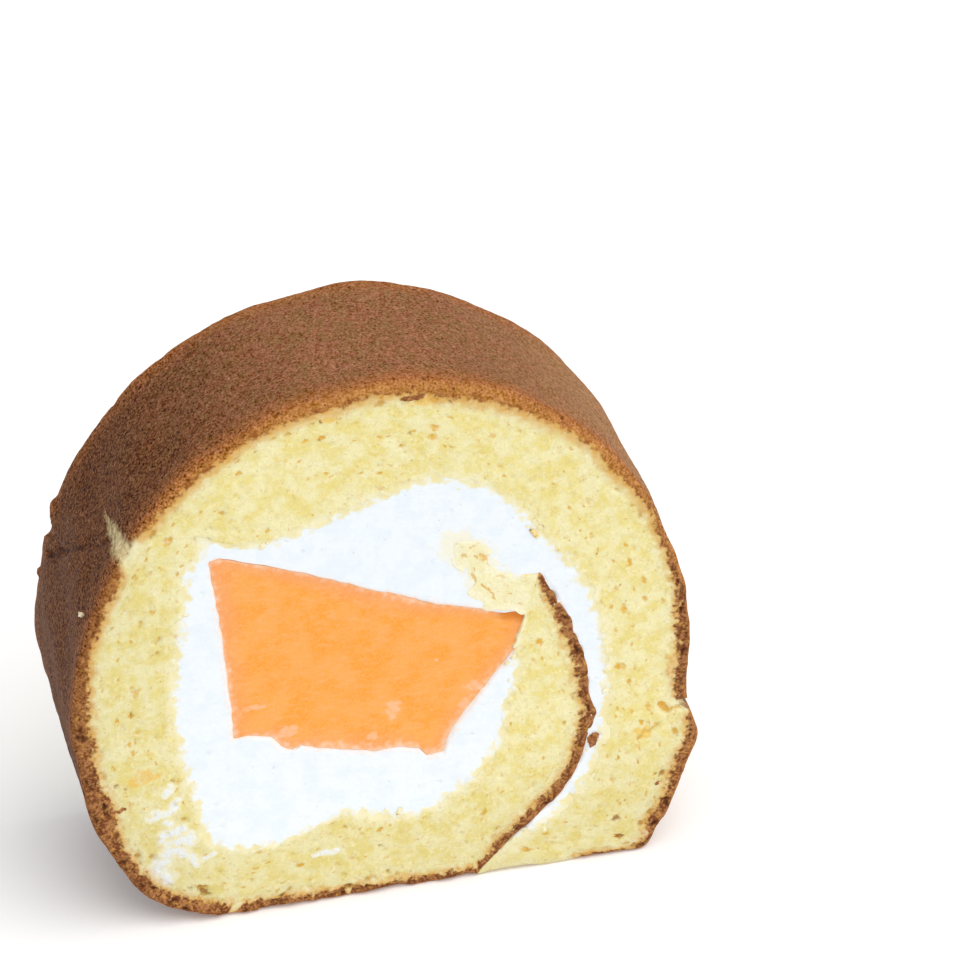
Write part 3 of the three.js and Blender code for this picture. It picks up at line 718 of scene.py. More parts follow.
# Pale spots on the fruit's face: x, z from the centre, half length, half height.
FRUIT_PALE_SPOTS = [
    (-0.2, -6.2, 1.0, 2.0), (-3.6, -10.7, 1.0, 0.7), (12.0, -4.6, 1.6, 1.1), (-21.2, -2.4, 2.2, 0.5),
    (9.0, -12.0, 1.6, 0.7), (-16.2, -7.6, 1.4, 1.0), (6.4, 1.2, 0.5, 0.3), (10.6, -7.6, 0.8, 1.2),
]

melon_inset, melon_edge_in, melon_front, melon_deep, melon_bend = melon_profile()
melon_back = melon_front[::-1]
melon_reach = melon_inset * melon_radius - MELON_EDGE * melon_edge_in
melon_axis = np.stack([np.cos(melon_turn), np.sin(melon_turn)], -1)
melon_place = MELON_MIDDLE + melon_axis * np.maximum(melon_reach, 0.02)[..., None]
side_place = np.stack(np.broadcast_arrays(melon_turn * 20, melon_deep * THICKNESS), -1)
side_wear = 0.22 * noise(side_place, 6, 71, 2) + 0.1 * noise(side_place, 1.6, 72)
at_side = smooth_step(melon_inset, 0.8, 1)
melon_place = melon_place + melon_axis * (side_wear * at_side)[..., None]
melon_relief = 0.14 * noise(melon_place, 11, 73) + 0.035 * noise(melon_place * (1, 1.8), 2.4, 74, 2)
melon_tip = smooth_step(melon_place[..., 0], 13, 20)  # the tip lies further back than the rest
melon_thick = back_face(melon_place[..., 0]) - FRONT - 2 * MELON_RECESS
melon_y = FRONT + MELON_RECESS + melon_deep * melon_thick + MELON_EDGE * melon_bend
melon_y = melon_y + melon_front * (0.1 * melon_tip - melon_relief) + melon_back * melon_relief
tip_gap = near_line(melon_place + 0.6 * noise(melon_place, 1.2, 75, 2)[..., None], TIP_SHADE)
bruise = covered(melon_place, FRUIT_PALE_SPOTS, 1.2 * noise(melon_place, 1.1, 76, 3), 1.7, 0.2)
melon_grid = np.stack([melon_place[..., 0], melon_y, melon_place[..., 1] + CENTRE_HEIGHT], -1)
melon = closed_mesh("melon", melon_grid, {
    "edge_gap": melon_radius * (1 - melon_inset) * 0.9,
    "on_face": melon_front + melon_back,
    "tip_shade": smooth_step(tip_gap, 2.4, 0.4) * melon_front,
    "pale": bruise * melon_front,
})
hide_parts("melon")
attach(melon, "root")

# %% [markdown]
# The cream fills what is left. It is two pieces that run into each other: a heart round the fruit, and
# an arm between the turns of the sheet. Each is a little wider than its gap, so it sinks into its
# neighbours, and the line between cream and crumb is simply where the two uneven surfaces meet. Both
# take their relief from the same function of place, so no seam shows between them.

# %% A body of cream
CREAM_BACK = 0.12  # mm, how far the cream's face lies behind the plane of the cut
CREAM_SUNK = 2.6  # mm, how far it reaches into its neighbours
CREAM_UNDER_FRUIT = 0.7
KNIFE_TURN = np.radians(14)  # the way the knife dragged the cream
UNDER_SHEET = [(21.2, 8.4), (23.4, 9.6)]  # where the heart passes under the sheet's inner end
TORN_MIDDLE = [(9.6, 21.4), (12.6, 18.0), (14.0, 14.5), (18.5, 11.5)]  # it tinges the cream round it


def cream_face(section, seed):
    """Height of the cream's face off its plane: soft swells, fine streaks along the knife's way, and
    a few small burst bubbles."""
    along = section[..., 0] * np.cos(KNIFE_TURN) + section[..., 1] * np.sin(KNIFE_TURN)
    over = section[..., 1] * np.cos(KNIFE_TURN) - section[..., 0] * np.sin(KNIFE_TURN)
    dragged = np.stack([along / 5, over], -1)
    height = broad_face(section, seed - 20) + 0.05 * noise(dragged, 1.3, seed + 1, 2)
    height = height + 0.05 * noise(section, 2.2, seed + 2, 2)
    height = height - 0.9 * (1 - smooth_step(near_line(section, UNDER_SHEET), 0.7, 1.7))
    return height - 0.6 * pits(section, 5.0, 0.35, (0.2, 0.5), seed + 3)


def cream_ring(face_points, side_points, back_points):
    """Rows for a ring over the front face, down the outer side, over the back face and up the inner
    side: share of the way from the inner line to the outer one, share of the slice's depth, and how
    much the point belongs to the front face and to the back one."""
    face, back = np.linspace(0, 1, face_points), np.linspace(0, 1, back_points)
    side = np.linspace(0, 1, side_points + 2)[1:-1]
    parts = [
        [face, 0 * face, face**0, 0 * face],
        [side**0, side, 0 * side, 0 * side],
        [back[::-1], back**0, 0 * back, back**0],
        [0 * side, side[::-1], 0 * side, 0 * side],
    ]
    return np.hstack(parts)


def cream_body(name, inner, outer, ring, falls, raised=0.0, joined=False):
    """A body of cream between two lines. Its faces fall away by smooth steps near each line, over
    ragged widths, so that they dive under what lies there."""
    over, deep, front, behind = ring
    place = inner[:, None] + (outer - inner)[:, None] * over[:, None]
    width = np.linalg.norm(outer - inner, axis=1)[:, None]
    ragged = 1 + 0.45 * noise(place, 1.6, 83, 2)
    fall = 0
    for gap, (low, high, depth) in zip((over * width, (1 - over) * width), falls):
        fall = fall + depth * (1 - smooth_step(gap, low * ragged, high * ragged))
    y = FRONT + deep * (back_face(place[..., 0]) - FRONT)
    y = y + front * (CREAM_BACK + fall - cream_face(place, 80) - raised)
    y = y - behind * (CREAM_BACK + fall - cream_face(place, 380) - raised)
    grid = np.stack([place[..., 0], y, place[..., 1] + CENTRE_HEIGHT], -1)
    piece = closed_mesh(name, grid, {
        "from_sponge": (1 - over) * width - CREAM_SUNK,
        "from_fruit": over * width - CREAM_UNDER_FRUIT,
        "from_torn_end": near_line(place, TORN_MIDDLE),
    }, joined)
    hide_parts("cream")
    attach(piece, "root")
    return piece


# %% The cream's heart
HEART_STATIONS, MOUTH_STATIONS, HEART_FACE, HEART_BACK, HEART_SIDE = 900, 24, 62, 28, 4
ARM_MOUTH = CREAMED_START + 360  # the angle, past a full turn, where the arm branches off

heart_angle = np.concatenate([
    np.linspace(CREAMED_START, ARM_MOUTH - 2.2, HEART_STATIONS - MOUTH_STATIONS, endpoint=False),
    np.linspace(ARM_MOUTH - 2.2, ARM_MOUTH, MOUTH_STATIONS, endpoint=False),
])
heart_outer = creamed_radius(heart_angle - 360)
step_back = smooth_step(heart_angle, ARM_MOUTH - 2, ARM_MOUTH)  # across the arm's mouth
heart_outer = heart_outer + (creamed_radius(CREAMED_START - 360) - heart_outer) * step_back + CREAM_SUNK
melon_line = MELON_MIDDLE + melon_axis * (melon_radius - CREAM_UNDER_FRUIT)[:, None]
line_turn = np.degrees(np.arctan2(melon_line[:, 1], melon_line[:, 0]))
heart_inner = np.interp(heart_angle, line_turn, np.hypot(*melon_line.T), period=360)
cream_heart = cream_body(
    "cream_heart",
    polar(heart_angle, heart_inner),
    polar(heart_angle, heart_outer),
    cream_ring(HEART_FACE, HEART_SIDE, HEART_BACK),
    ((0.1, 0.9, 0.5), (0.2, 0.9, 0.9)),
    joined=True,
)

# %% The cream's arm
ARM_STATIONS, ARM_FACE, ARM_BACK, ARM_SIDE = 420, 24, 12, 4
ARM_START, ARM_END = 46.0, -61.0
ARM_MOUTH_RADIUS = 25.6  # mm, its inner line before the sheet's inner end
arm_angle = np.linspace(ARM_START, ARM_END, ARM_STATIONS)
arm_thin = smooth_step(arm_angle, ARM_END, ARM_END + 6)  # it runs out between the turns
arm_inner = np.where(arm_angle > INNER_END, ARM_MOUTH_RADIUS, spiral_radius(arm_angle))
arm_inner = arm_inner - CREAM_SUNK / 2 * arm_thin
arm_outer = creamed_radius(arm_angle - 360) + CREAM_SUNK * arm_thin
arm_raised = 0.04 * (1 - 2 * smooth_step(arm_angle, 22, 42))[:, None]
cream_arm = cream_body(
    "cream_arm",
    polar(arm_angle, arm_inner),
    polar(arm_angle, arm_outer),
    cream_ring(ARM_FACE, ARM_SIDE, ARM_BACK),
    ((0.3, 1.2, 0.9), (0.2, 0.9, 0.9)),
    arm_raised,
)

# %% [markdown]
# Materials are written as expressions. A wire is one value on its way through a material: sums and
# products of wires add Math nodes, and one method adds any other node, with its settings first. That
# keeps a recipe readable, where a drawn node tree of the same size would be a tangle.

# %% Wires
class Wire:
    """A socket of a material's node tree that can be added to, multiplied and so on."""

    def __init__(self, tree, socket=None):
        self.tree, self.socket = tree, socket

    def node(self, kind, settings=(), inputs=(), output=0):
        """Adds a node: its settings, then its inputs by name or number, and gives one output."""
        made = self.tree.nodes.new("ShaderNode" + kind)
        for key, value in dict(settings).items():
            setattr(made, key, value)
        for key, value in dict(inputs).items():
            if isinstance(value, Wire):
                self.tree.links.new(value.socket, made.inputs[key])
            else:
                made.inputs[key].default_value = value
        return Wire(self.tree, made.outputs[output])

    def maths(self, operation, *values):
        return self.node("Math", {"operation": operation}, enumerate(values))

    def __add__(self, other):
        return self.maths("ADD", self, other)

    def __sub__(self, other):
        return self.maths("SUBTRACT", self, other)

    def __rsub__(self, other):
        return self.maths("SUBTRACT", other, self)

    def __mul__(self, other):
        return self.maths("MULTIPLY", self, other)

    def __truediv__(self, other):
        return self.maths("DIVIDE", self, other)

    __radd__, __rmul__ = __add__, __mul__

    def larger(self, other):
        return self.maths("MAXIMUM", self, other)

    def between(self, low, high):
        """0 below low, 1 above high, smooth between: a soft threshold. low may be the larger."""
        limits = {0: self, 1: low, 2: high, 3: 0.0, 4: 1.0}
        if low > high:
            limits = {0: self, 1: high, 2: low, 3: 1.0, 4: 0.0}
        return self.node("MapRange", {"interpolation_type": "SMOOTHSTEP"}, limits)

    def attribute(self, name, output="Fac"):
        return self.node("Attribute", {"attribute_name": name}, (), output)

    def part(self, number):
        """x, y or z of a vector, as 0, 1 or 2."""
        return self.node("SeparateXYZ", (), {0: self}, number)

    def scaled(self, *factors):
        """A vector with each part multiplied."""
        return self.node("VectorMath", {"operation": "MULTIPLY"}, {0: self, 1: factors})

    def shifted(self, other):
        """A vector or colour with another one, or one value for all its parts, added."""
        return self.node("VectorMath", {"operation": "ADD"}, {0: self, 1: other})

    def cloud(self, size, detail=2.0, output=0):
        """Blender's noise at this place, from 0 to 1, with lumps of that many mm."""
        return self.node("TexNoise", (), {"Vector": self, "Scale": 1 / size, "Detail": detail}, output)

    def frayed(self, at, size, detail, amount):
        """This value with noise added, up to half the amount either way: an even line turns ragged."""
        return self + (at.cloud(size, detail) - 0.5) * amount

    def bubbles(self, size, smallest, largest, soft=0.5):
        """Round spots of random sizes, one a cell: 1 in the middle of a spot and 0 outside it."""
        inputs = {"Vector": self, "Scale": 1 / size}
        gap = self.node("TexVoronoi", (), inputs, "Distance")
        luck = self.node("TexVoronoi", (), inputs, "Color")
        radius = self.node("SeparateColor", (), {0: luck}, 0) * (largest - smallest) + smallest
        return (1 - gap / radius.larger(0.001)).between(0.0, soft)

    def mixed(self, share, other):
        """This colour with a share of another."""
        inputs = {0: share, 6: self, 7: other if isinstance(other, Wire) else colour(*other)}
        return self.node("Mix", {"data_type": "RGBA"}, inputs, 2)

    def layered(self, *layers):
        """This colour under layers, each a share and a colour, the last one on top."""
        made = self
        for share, other in layers:
            made = made.mixed(share, other)
        return made

    def blend(self, first, second):
        """The first colour where this value is 0 and the second where it is 1."""
        return self.node("Mix", {"data_type": "RGBA"}, {0: self, 6: colour(*first), 7: colour(*second)}, 2)

    def tinted(self, factor):
        """This colour times a number, which lightens or darkens it."""
        return self.node("VectorMath", {"operation": "SCALE"}, {0: self, "Scale": factor})


# %% Colours and finishes
def colour(red, green, blue):
    """Screen colour from 0 to 255 as the linear one that a node takes."""
    share = np.array([red, green, blue]) / 255
    linear = np.where(share > 0.04045, ((share + 0.055) / 1.055) ** 2.4, share / 12.92)
    return (*map(float, linear), 1.0)


EDGE_SOFT = 0.7  # mm, half the width over which crumb turns into cream
CRUMB_PALE, CRUMB_WARM, CREAM_WHITE = (240, 231, 180), (233, 217, 138), (241, 247, 254)


def cream_line_noise(at):
    """mm by which the line between crumb and cream wanders: the same for both, so that they agree."""
    return (at.cloud(1.6, 4) - 0.5) * 4.6 + (at.cloud(0.6, 2) - 0.5) * 1.2


def crumb_mottle(at):
    """The yellow of plain crumb, from pale to warm in lumps of a millimetre or two."""
    return (at.cloud(3.2, 3) * 0.68 + at.cloud(1.1, 2) * 0.32).between(0.4, 0.6).blend(CRUMB_PALE, CRUMB_WARM)


def new_material(name):
    """An empty material, a wire to start from, and the place on the piece in mm."""
    material = bpy.data.materials.new(name)
    material.use_nodes = True
    material.node_tree.nodes.clear()
    start = Wire(material.node_tree)
    return material, start, start.node("TexCoord", (), (), "Object").scaled(1000, 1000, 1000)


def finish_material(start, inputs, height=0.0):
    """The main shader with its inputs and a bump of that height in mm, linked to the output."""
    bump = start.node("Bump", (), {"Strength": 1.0, "Distance": MM, "Height": height})
    shader = start.node("BsdfPrincipled", (), {**inputs, "Normal": bump})
    last = start.tree.nodes.new("ShaderNodeOutputMaterial")
    start.tree.links.new(shader.socket, last.inputs["Surface"])


print("crumb is", [round(part, 2) for part in colour(*CRUMB_PALE)[:3]], "in linear light where it is pale")

# %% [markdown]
# The sponge's material reads what each point was given when it was made: how far it lies under the
# skin and from the cream, and where along the sheet. The crumb is a soft mottle of pale and warm
# yellow with ochre bubbles, drawn out along the sheet, with painted shade in its bubbles and towards
# the lower left, and painted highlights in pale specks. Towards the skin it pales, turns gold and then
# brown. A photo texture would look right from one side only. This recipe holds on every side.

# %% The sponge's material
sponge_material, start, at = new_material("baked_sponge")
in_sheet = start.attribute("in_sheet", "Vector")
names = ("under_skin", "from_cream", "band", "outside", "rim_gap", "bare", "cracked", "hollow", "rolled")
under_skin, cream_gap, band, outside, rim_near, bareness, crack, opened, rolled = map(start.attribute, names)
sideways = at.part(0)

CRUMB_GREY, CRUMB_CREAMY, CRUMB_TORN = (228, 221, 178), (251, 247, 222), (245, 239, 204)
PORE_OCHRE_SHADE, PORE_OLIVE_SHADE, SPECK_HIGHLIGHT = (226, 172, 56), (190, 156, 80), (253, 247, 214)
SYRUP, SCORCH = (240, 196, 92), (160, 106, 50)
near_skin = (under_skin - band).between(3.4, 0.2) * (1 - bareness)
fine = at.cloud(0.4, 2)
stretched = in_sheet.scaled(0.6, 1, 1)
shaken = stretched.shifted(in_sheet.cloud(0.7, 2, 1).scaled(0.8, 0.8, 0.8))
small_pores = shaken.bubbles(1.0, -0.35, 0.42, 0.7)
pores = shaken.bubbles(2.3, -0.4, 0.34, 0.7)
dashes = in_sheet.scaled(0.4, 1, 0.6).bubbles(1.0, -0.25, 0.34, 0.8) * near_skin
strokes = start.maths("ABSOLUTE", in_sheet.scaled(0.8, 1.2, 1).cloud(1.3, 2) - 0.5).between(0.04, 0.0)
strokes = strokes * (at.cloud(0.9, 2) + near_skin * 0.06).between(0.53, 0.65)
pored = (small_pores * 0.82).larger(pores * 0.95).larger(dashes * 0.8).larger(strokes * 0.45)
# the bubbles' ochre, olive near the skin: partly the crumb's own warmer colour, partly painted shade and glow
# in the hollows
pore_tone_and_shade = near_skin.blend(PORE_OCHRE_SHADE, PORE_OLIVE_SHADE)
smear = start.attribute("smear")
creamy = cream_gap.frayed(at, 1.5, 3, 3.6).between(2.2, 0.2)
cream_share = (start.attribute("cream_side") + cream_line_noise(at)).between(EDGE_SOFT, -EDGE_SOFT)
crumb = crumb_mottle(at).layered(
    (near_skin * 0.5, CRUMB_GREY),
    (bareness * 0.6, CRUMB_TORN),
    (pored, pore_tone_and_shade),
    # painted highlights: pale specks over the crumb
    (at.cloud(1.1, 3).between(0.52, 0.7) * 0.4, SPECK_HIGHLIGHT),
    # painted shade: the deeper hollows coloured with the pores' tint by their depth
    (opened.frayed(at, 0.6, 3, 0.7).between(0.14, 0.5) * 0.8, pore_tone_and_shade),
    (start.attribute("stain").frayed(at, 1.2, 3, 1.6).between(0.2, 1.0) * 0.7, SYRUP),
    (start.attribute("scorched").frayed(at, 0.5, 3, 1.6).between(0.2, 0.9) * 0.8, SCORCH),
    ((creamy * 0.5).larger(smear.between(0.0, 0.5) * 0.6), CRUMB_CREAMY),
    (cream_share.larger(smear.frayed(at, 0.9, 4, 2.6).between(0.35, 1.1) * 0.8), CREAM_WHITE),
)
# painted shade: the crumb is made darker towards the bottom and to the left, where less light falls
crumb_painted_shade = 1 - at.part(2).between(30.0, 4.0) * 0.1 - sideways.between(-20.0, -42.0) * 0.07
crumb = crumb.tinted((fine * 0.24 + 0.89) * crumb_painted_shade)

# %% The baked skin
SKIN_RED, SKIN_OLIVE, SKIN_BROWN = (156, 99, 70), (142, 103, 62), (146, 96, 64)
SKIN_PAINTED_LIGHT, SKIN_PAINTED_SHADE, CREASE_SHADE = (172, 124, 76), (98, 55, 18), (62, 28, 14)
SKIN_PINHOLE_SHADE, SKIN_SPECK, BARE_CRUMB = (84, 42, 24), (190, 150, 120), (238, 208, 146)
RIM_AMBER, RIM_GOLD = (174, 106, 54), (206, 152, 78)
grain, skin_lumps = at.cloud(0.34, 1), at.cloud(0.8, 2)
pinholes = at.bubbles(0.85, -0.15, 0.4, 0.7)
far_left = sideways.between(-24.0, -44.0)
skin = (at.cloud(4, 2) * 0.5 + at.cloud(1.0, 2) * 0.5).between(0.4, 0.6).blend(SKIN_RED, SKIN_OLIVE)
skin = skin.layered(
    (0.3, SKIN_BROWN),
    # painted light: the skin made lighter and more golden towards the right, its lit side
    (sideways.between(14.0, 44.0) * 0.8, SKIN_PAINTED_LIGHT),
    # painted shade: the skin made darker towards the left side, away from the light
    (sideways.between(-6.0, -42.0) * 0.88, SKIN_PAINTED_SHADE),
    (rim_near.frayed(at, 1.1, 3, 2.4).between(5.2, -0.2) * (0.75 - far_left * 0.35), RIM_AMBER),
    (rim_near.frayed(at, 0.7, 3, 1.6).between(1.0, -0.3) * (0.4 - far_left * 0.3), RIM_GOLD),
)
to_side = sideways.between(-10.0, -40.0) * 1.2 + sideways.between(20.0, 44.0) * 0.3
skin = skin.tinted((grain * 1.2 + skin_lumps * 0.8 - 1.0) * (to_side + 1.0) + 1.0)
skin = skin.shifted(grain * 0.17 + skin_lumps * 0.06 - 0.115)
broken = at.cloud(1.5, 2).between(0.42, 0.56)
bared = crumb.mixed(0.5, BARE_CRUMB).tinted(fine * 0.5 + at.cloud(1.2, 2) * 0.5 + 0.46)
skin = skin.layered(
    # painted shade: the pinholes darkened as the shade inside them
    (pinholes * 0.7, SKIN_PINHOLE_SHADE),
    (at.bubbles(1.1, -0.5, 0.16) * 0.6, SKIN_SPECK),
    # painted shade: the cracks in the skin darkened where they are deep
    (crack.between(0.05, 0.35) * broken * (1 - bareness) * 0.85, CREASE_SHADE),
    (bareness.frayed(at, 0.8, 3, 1.2).between(0.15, 1.15) * 0.95, bared),
)
print("the sponge's material has", len(sponge_material.node_tree.nodes), "nodes so far")

# %% The cut edge of the crust
# At the top it is rolled over and ends in a thin amber line. Elsewhere it is a band cut open.
BAND_BROWN, BAND_TAN, BAND_PORE_SHADE = (116, 66, 36), (174, 120, 74), (62, 30, 14)
BAND_LINE, BAND_GOLD = (150, 88, 42), (218, 164, 78)
ragged = (at.cloud(2.2, 3) + at.cloud(0.7, 3) - 1.0) * 2.6 * (1 - rolled * 0.45)
banded = band.between(0.1, 0.4) * (1 - bareness)
inside_band = band - under_skin - ragged
brown_share = inside_band.between(-0.4, 0.4) * banded
gold_share = (inside_band + rolled * 0.4).frayed(at, 1.4, 2, 2.0).between(-1.6, 0.1) * banded
streaks = shaken.bubbles(1.1, -0.15, 0.5, 0.7)
tufts = in_sheet.scaled(1, 0.6, 1).cloud(0.6, 3).between(0.56, 0.68)
browned = (at.cloud(0.45, 3) * 0.6 + at.cloud(1.4, 2) * 0.4).between(0.42, 0.6).blend(BAND_BROWN, BAND_TAN)
browned = browned.layered(
    # the crust's streaks and hollows darkened: partly its own dark brown, partly painted shade in them
    (tufts * 0.5, BAND_GOLD), ((streaks * 0.8).larger(opened.between(0.1, 0.4) * 0.9), BAND_PORE_SHADE)
)
rolled_edge = (at.cloud(0.7, 2) * 0.6 + at.cloud(3.0, 2) * 0.4).between(0.42, 0.58).blend(BAND_LINE, RIM_GOLD)
rolled_edge = rolled_edge.layered(
    # dark spots on the rolled edge: partly its own dark brown, partly painted shade
    (at.bubbles(0.7, -0.1, 0.45, 0.8) * 0.35, BAND_PORE_SHADE),
    (inside_band.frayed(at, 3.0, 3, 3.0).between(0.1, 0.8), skin),
)
cut = crumb.layered(
    (gold_share * (at.cloud(1.0, 3) * 0.9 + 0.3), BAND_GOLD),
    (brown_share, browned.mixed(rolled, rolled_edge)),
)
crumb_height = fine * 0.1 + at.cloud(1.1, 2) * 0.12 - small_pores * 0.06 - pores * 0.12 - dashes * 0.08
baked = outside * (1 - bareness)
finish_material(start, {
    "Base Color": cut.mixed(outside.between(0.3, 0.9), skin),
    "Roughness": 0.9 - outside * 0.2,
    "Specular IOR Level": 0.12,
}, crumb_height * (1 - baked) + (grain * 0.14 - pinholes * 0.12) * baked)
sponge.data.materials.append(sponge_material)
print("the sponge's material has", len(sponge_material.node_tree.nodes), "nodes")

# %% [markdown]
# Cream and fruit both glow a little, because light goes in and comes out a few millimetres on. That is
# subsurface scattering, set as plain numbers on the shader. The colours stay quiet: the cream is a
# cool white, and the fruit goes from orange to a salmon tone at its edges, as ripe melon does.

# %% The cream's material
cream_material, start, at = new_material("whipped_cream")
CREAM_COOL, CREAM_CRUMBY = (236, 244, 254), (252, 246, 220)
CREAM_SOAKED, CREAM_ORANGE = (248, 241, 208), (253, 226, 204)
crumb_share = (cream_line_noise(at) - start.attribute("from_sponge")).between(-EDGE_SOFT, EDGE_SOFT)
cream_colour = at.cloud(2.4, 3).between(0.4, 0.65).blend(CREAM_WHITE, CREAM_COOL).layered(
    (crumb_share, crumb_mottle(at).mixed(0.35, CREAM_CRUMBY)),
    (start.attribute("from_fruit").frayed(at, 0.8, 3, 2.4).between(1.0, -0.6) * 0.55, CREAM_ORANGE),
    (start.attribute("from_torn_end").frayed(at, 1.6, 3, 4.0).between(3.8, 1.6) * 0.7, CREAM_SOAKED),
)
dragged = at.scaled(0.25, 1, 1)
finish_material(start, {
    "Base Color": cream_colour.tinted(at.cloud(0.4, 2) * 0.05 + 0.972),
    "Roughness": 0.5 + at.cloud(3, 2) * 0.15,
    "Specular IOR Level": 0.4,
    "Subsurface Weight": 0.25,
    "Subsurface Radius": (1.0, 1.0, 1.0),
    "Subsurface Scale": 0.0005,
}, dragged.cloud(0.9, 4) * 0.14 + at.cloud(0.6, 2) * 0.05 - at.bubbles(1.6, -0.4, 0.2) * 0.08)
cream_heart.data.materials.append(cream_material)
cream_arm.data.materials.append(cream_material)

# %% The fruit's material
melon_material, start, at = new_material("melon_flesh")
MELON_DEEP, MELON_LIGHT, MELON_SALMON = (251, 160, 44), (250, 170, 78), (249, 160, 104)
MELON_SHADED, MELON_PALE = (218, 122, 20), (252, 200, 164)
MELON_BRIGHT, MELON_VEIL = (250, 184, 120), (252, 216, 190)
edge_gap = start.attribute("edge_gap")
upper, foot = at.part(2).between(48.0, 60.0), at.part(2).between(38.0, 26.0)
fibres, melon_grain = at.scaled(0.5, 1, 1.3).cloud(0.9, 3), at.cloud(0.35, 2)
veil = (edge_gap - foot * 0.4).frayed(at, 1.1, 4, 4.0).between(1.1, -0.9) * start.attribute("on_face")
melon_colour = at.cloud(4.0, 3).between(0.37, 0.63).blend(MELON_DEEP, MELON_LIGHT).layered(
    ((edge_gap - upper * 1.5).frayed(at, 4, 3, 3.0).between(3.9, -1.1) * 0.75, MELON_SALMON),
    (fibres.between(0.48, 0.7) * 0.4, MELON_BRIGHT),
    (melon_grain.between(0.35, 0.7) * 0.35, MELON_BRIGHT),
    (start.attribute("pale").frayed(at, 0.9, 4, 2.0).between(0.3, 1.1) * 0.6, MELON_PALE),
    (veil * 0.7, MELON_VEIL),
    (start.attribute("tip_shade") * 0.9, MELON_SHADED),
)
finish_material(start, {
    "Base Color": melon_colour,
    "Roughness": 0.42 + at.cloud(2, 2) * 0.2,
    "Specular IOR Level": 0.3,
    "Subsurface Weight": 0.2,
    "Subsurface Radius": (1.0, 0.45, 0.2),
    "Subsurface Scale": 0.0012,
}, fibres * 0.07 + melon_grain * 0.05)
melon.data.materials.append(melon_material)

# %% [markdown]
# Cutting leaves crumbs. Flakes of crust lie along the rim, crumbs of sponge stick in the cream's edge,
# and one sits on the skin. Each is a small closed lump, and each kind is one mesh. A particle system
# would scatter them too, but then none would lie where it should. The thin cream that the knife
# dragged over the crumb needs no piece: it is part of the cut face's relief and colour.

# %% A mesh of lumps
LUMP_SIDES, LUMP_RINGS = 12, 7
LUMP_APART = 9.7  # mm between the lumps' places in the noise, so that each has its own shape


def lumps(name, spots, y, seed, rough=0.7):
    """Many closed lumps in one mesh. A spot is x, z from the centre, half length, half height, half
    depth and turn. A lump is an ellipsoid of those sizes, times 1 + rough * noise of the direction."""
    spots = np.array(spots, float)
    turn = np.linspace(0, 2 * np.pi, LUMP_SIDES, endpoint=False)
    tilt = np.linspace(0, np.pi, LUMP_RINGS + 2)[1:-1, None]
    level = np.cos(tilt) + 0 * turn
    ball = np.stack([np.sin(tilt) * np.cos(turn), np.sin(tilt) * np.sin(turn), level], -1)
    ball = np.vstack([ball.reshape(-1, 3), [[0, 0, 1], [0, 0, -1]]])
    place = ball + LUMP_APART * np.arange(len(spots))[:, None, None]
    body = ball * (1 + rough * noise(place, 0.5, seed, 2)[..., None]) * spots[:, None, 2:5]
    swing = np.radians(spots[:, 5])[:, None]
    x = spots[:, :1] + body[..., 0] * np.cos(swing) - body[..., 1] * np.sin(swing)
    z = spots[:, 1:2] + body[..., 0] * np.sin(swing) + body[..., 1] * np.cos(swing) + CENTRE_HEIGHT
    points = np.stack([x, y + body[..., 2], z], -1)
    here = np.arange(LUMP_RINGS * LUMP_SIDES).reshape(LUMP_RINGS, LUMP_SIDES)
    side = np.roll(here, -1, 1)
    quads = np.stack([here[1:], side[1:], side[:-1], here[:-1]], -1).reshape(-1, 4)
    top, bottom = here.size + 0 * here[0], here.size + 1 + 0 * here[0]
    caps = np.vstack([np.stack([side[0], top, here[0]], -1), np.stack([here[-1], bottom, side[-1]], -1)])
    shift = (here.size + 2) * np.arange(len(spots))[:, None, None]
    faces = (quads + shift).reshape(-1, 4).tolist() + (caps + shift).reshape(-1, 3).tolist()
    mesh = bpy.data.meshes.new(name)
    mesh.from_pydata(((points.reshape(-1, 3) + TO_PART) * MM).tolist(), [], faces)
    mesh.polygons.foreach_set("use_smooth", np.ones(len(mesh.polygons), bool))
    piece = bpy.data.objects.new(name, mesh)
    bpy.context.scene.collection.objects.link(piece)
    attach(piece, "root")
    print(name, "is", len(spots), "lumps with", len(faces), "faces")
    return piece


# %% Crumbs and flakes
CRUST_FLAKES = [
    (2.6, 47.6, 1.2, 0.45, 0.2, -4), (4.2, 47.5, 0.9, 0.4, 0.2, 16), (30.4, -17.6, 0.7, 1.1, 0.5, 10),
    (30.9, -16.8, 0.5, 0.6, 0.4, 60), (-42.3, -17.1, 1.1, 0.7, 0.25, 20),
    (-43.6, -15.2, 1.1, 0.5, 0.25, -40), (-41.3, -16.8, 0.6, 0.4, 0.2, -30),
    (40.9, -27.5, 0.5, 0.4, 0.3, 40),
]
OCHRE_CRUMBS = [
    (21.2, 21.5, 0.8, 0.42, 0.18, -55), (21.6, 20.9, 0.4, 0.3, 0.15, 10),
    (13.4, 18.2, 0.45, 0.8, 0.1, 25),
]
SKIN_CRUMB, SKIN_CRUMB_Y = [(-45.5, 16.3, 0.35, 0.55, 0.3, 30)], -11.3
CRUMB_SPREAD, CRUMB_COUNT = 1.2, 26


def crumbs_along(line, count, seed):
    """Spots for small crumbs beside a line of points, at places and in sizes given by hashed numbers."""
    pick, off, size, swing, flat = (hashed(np.arange(count)[:, None], seed + k) for k in range(5))
    places = line[(pick * (len(line) - 1)).astype(int)]
    aside = np.stack([off - 0.5, flat - 0.5], -1) * 2 * CRUMB_SPREAD
    halves = np.stack([0.25 + 0.45 * size**2, 0.18 + 0.3 * size**2, 0.07 + 0.05 * size], -1)
    return np.column_stack([places + aside, halves, 180 * swing])


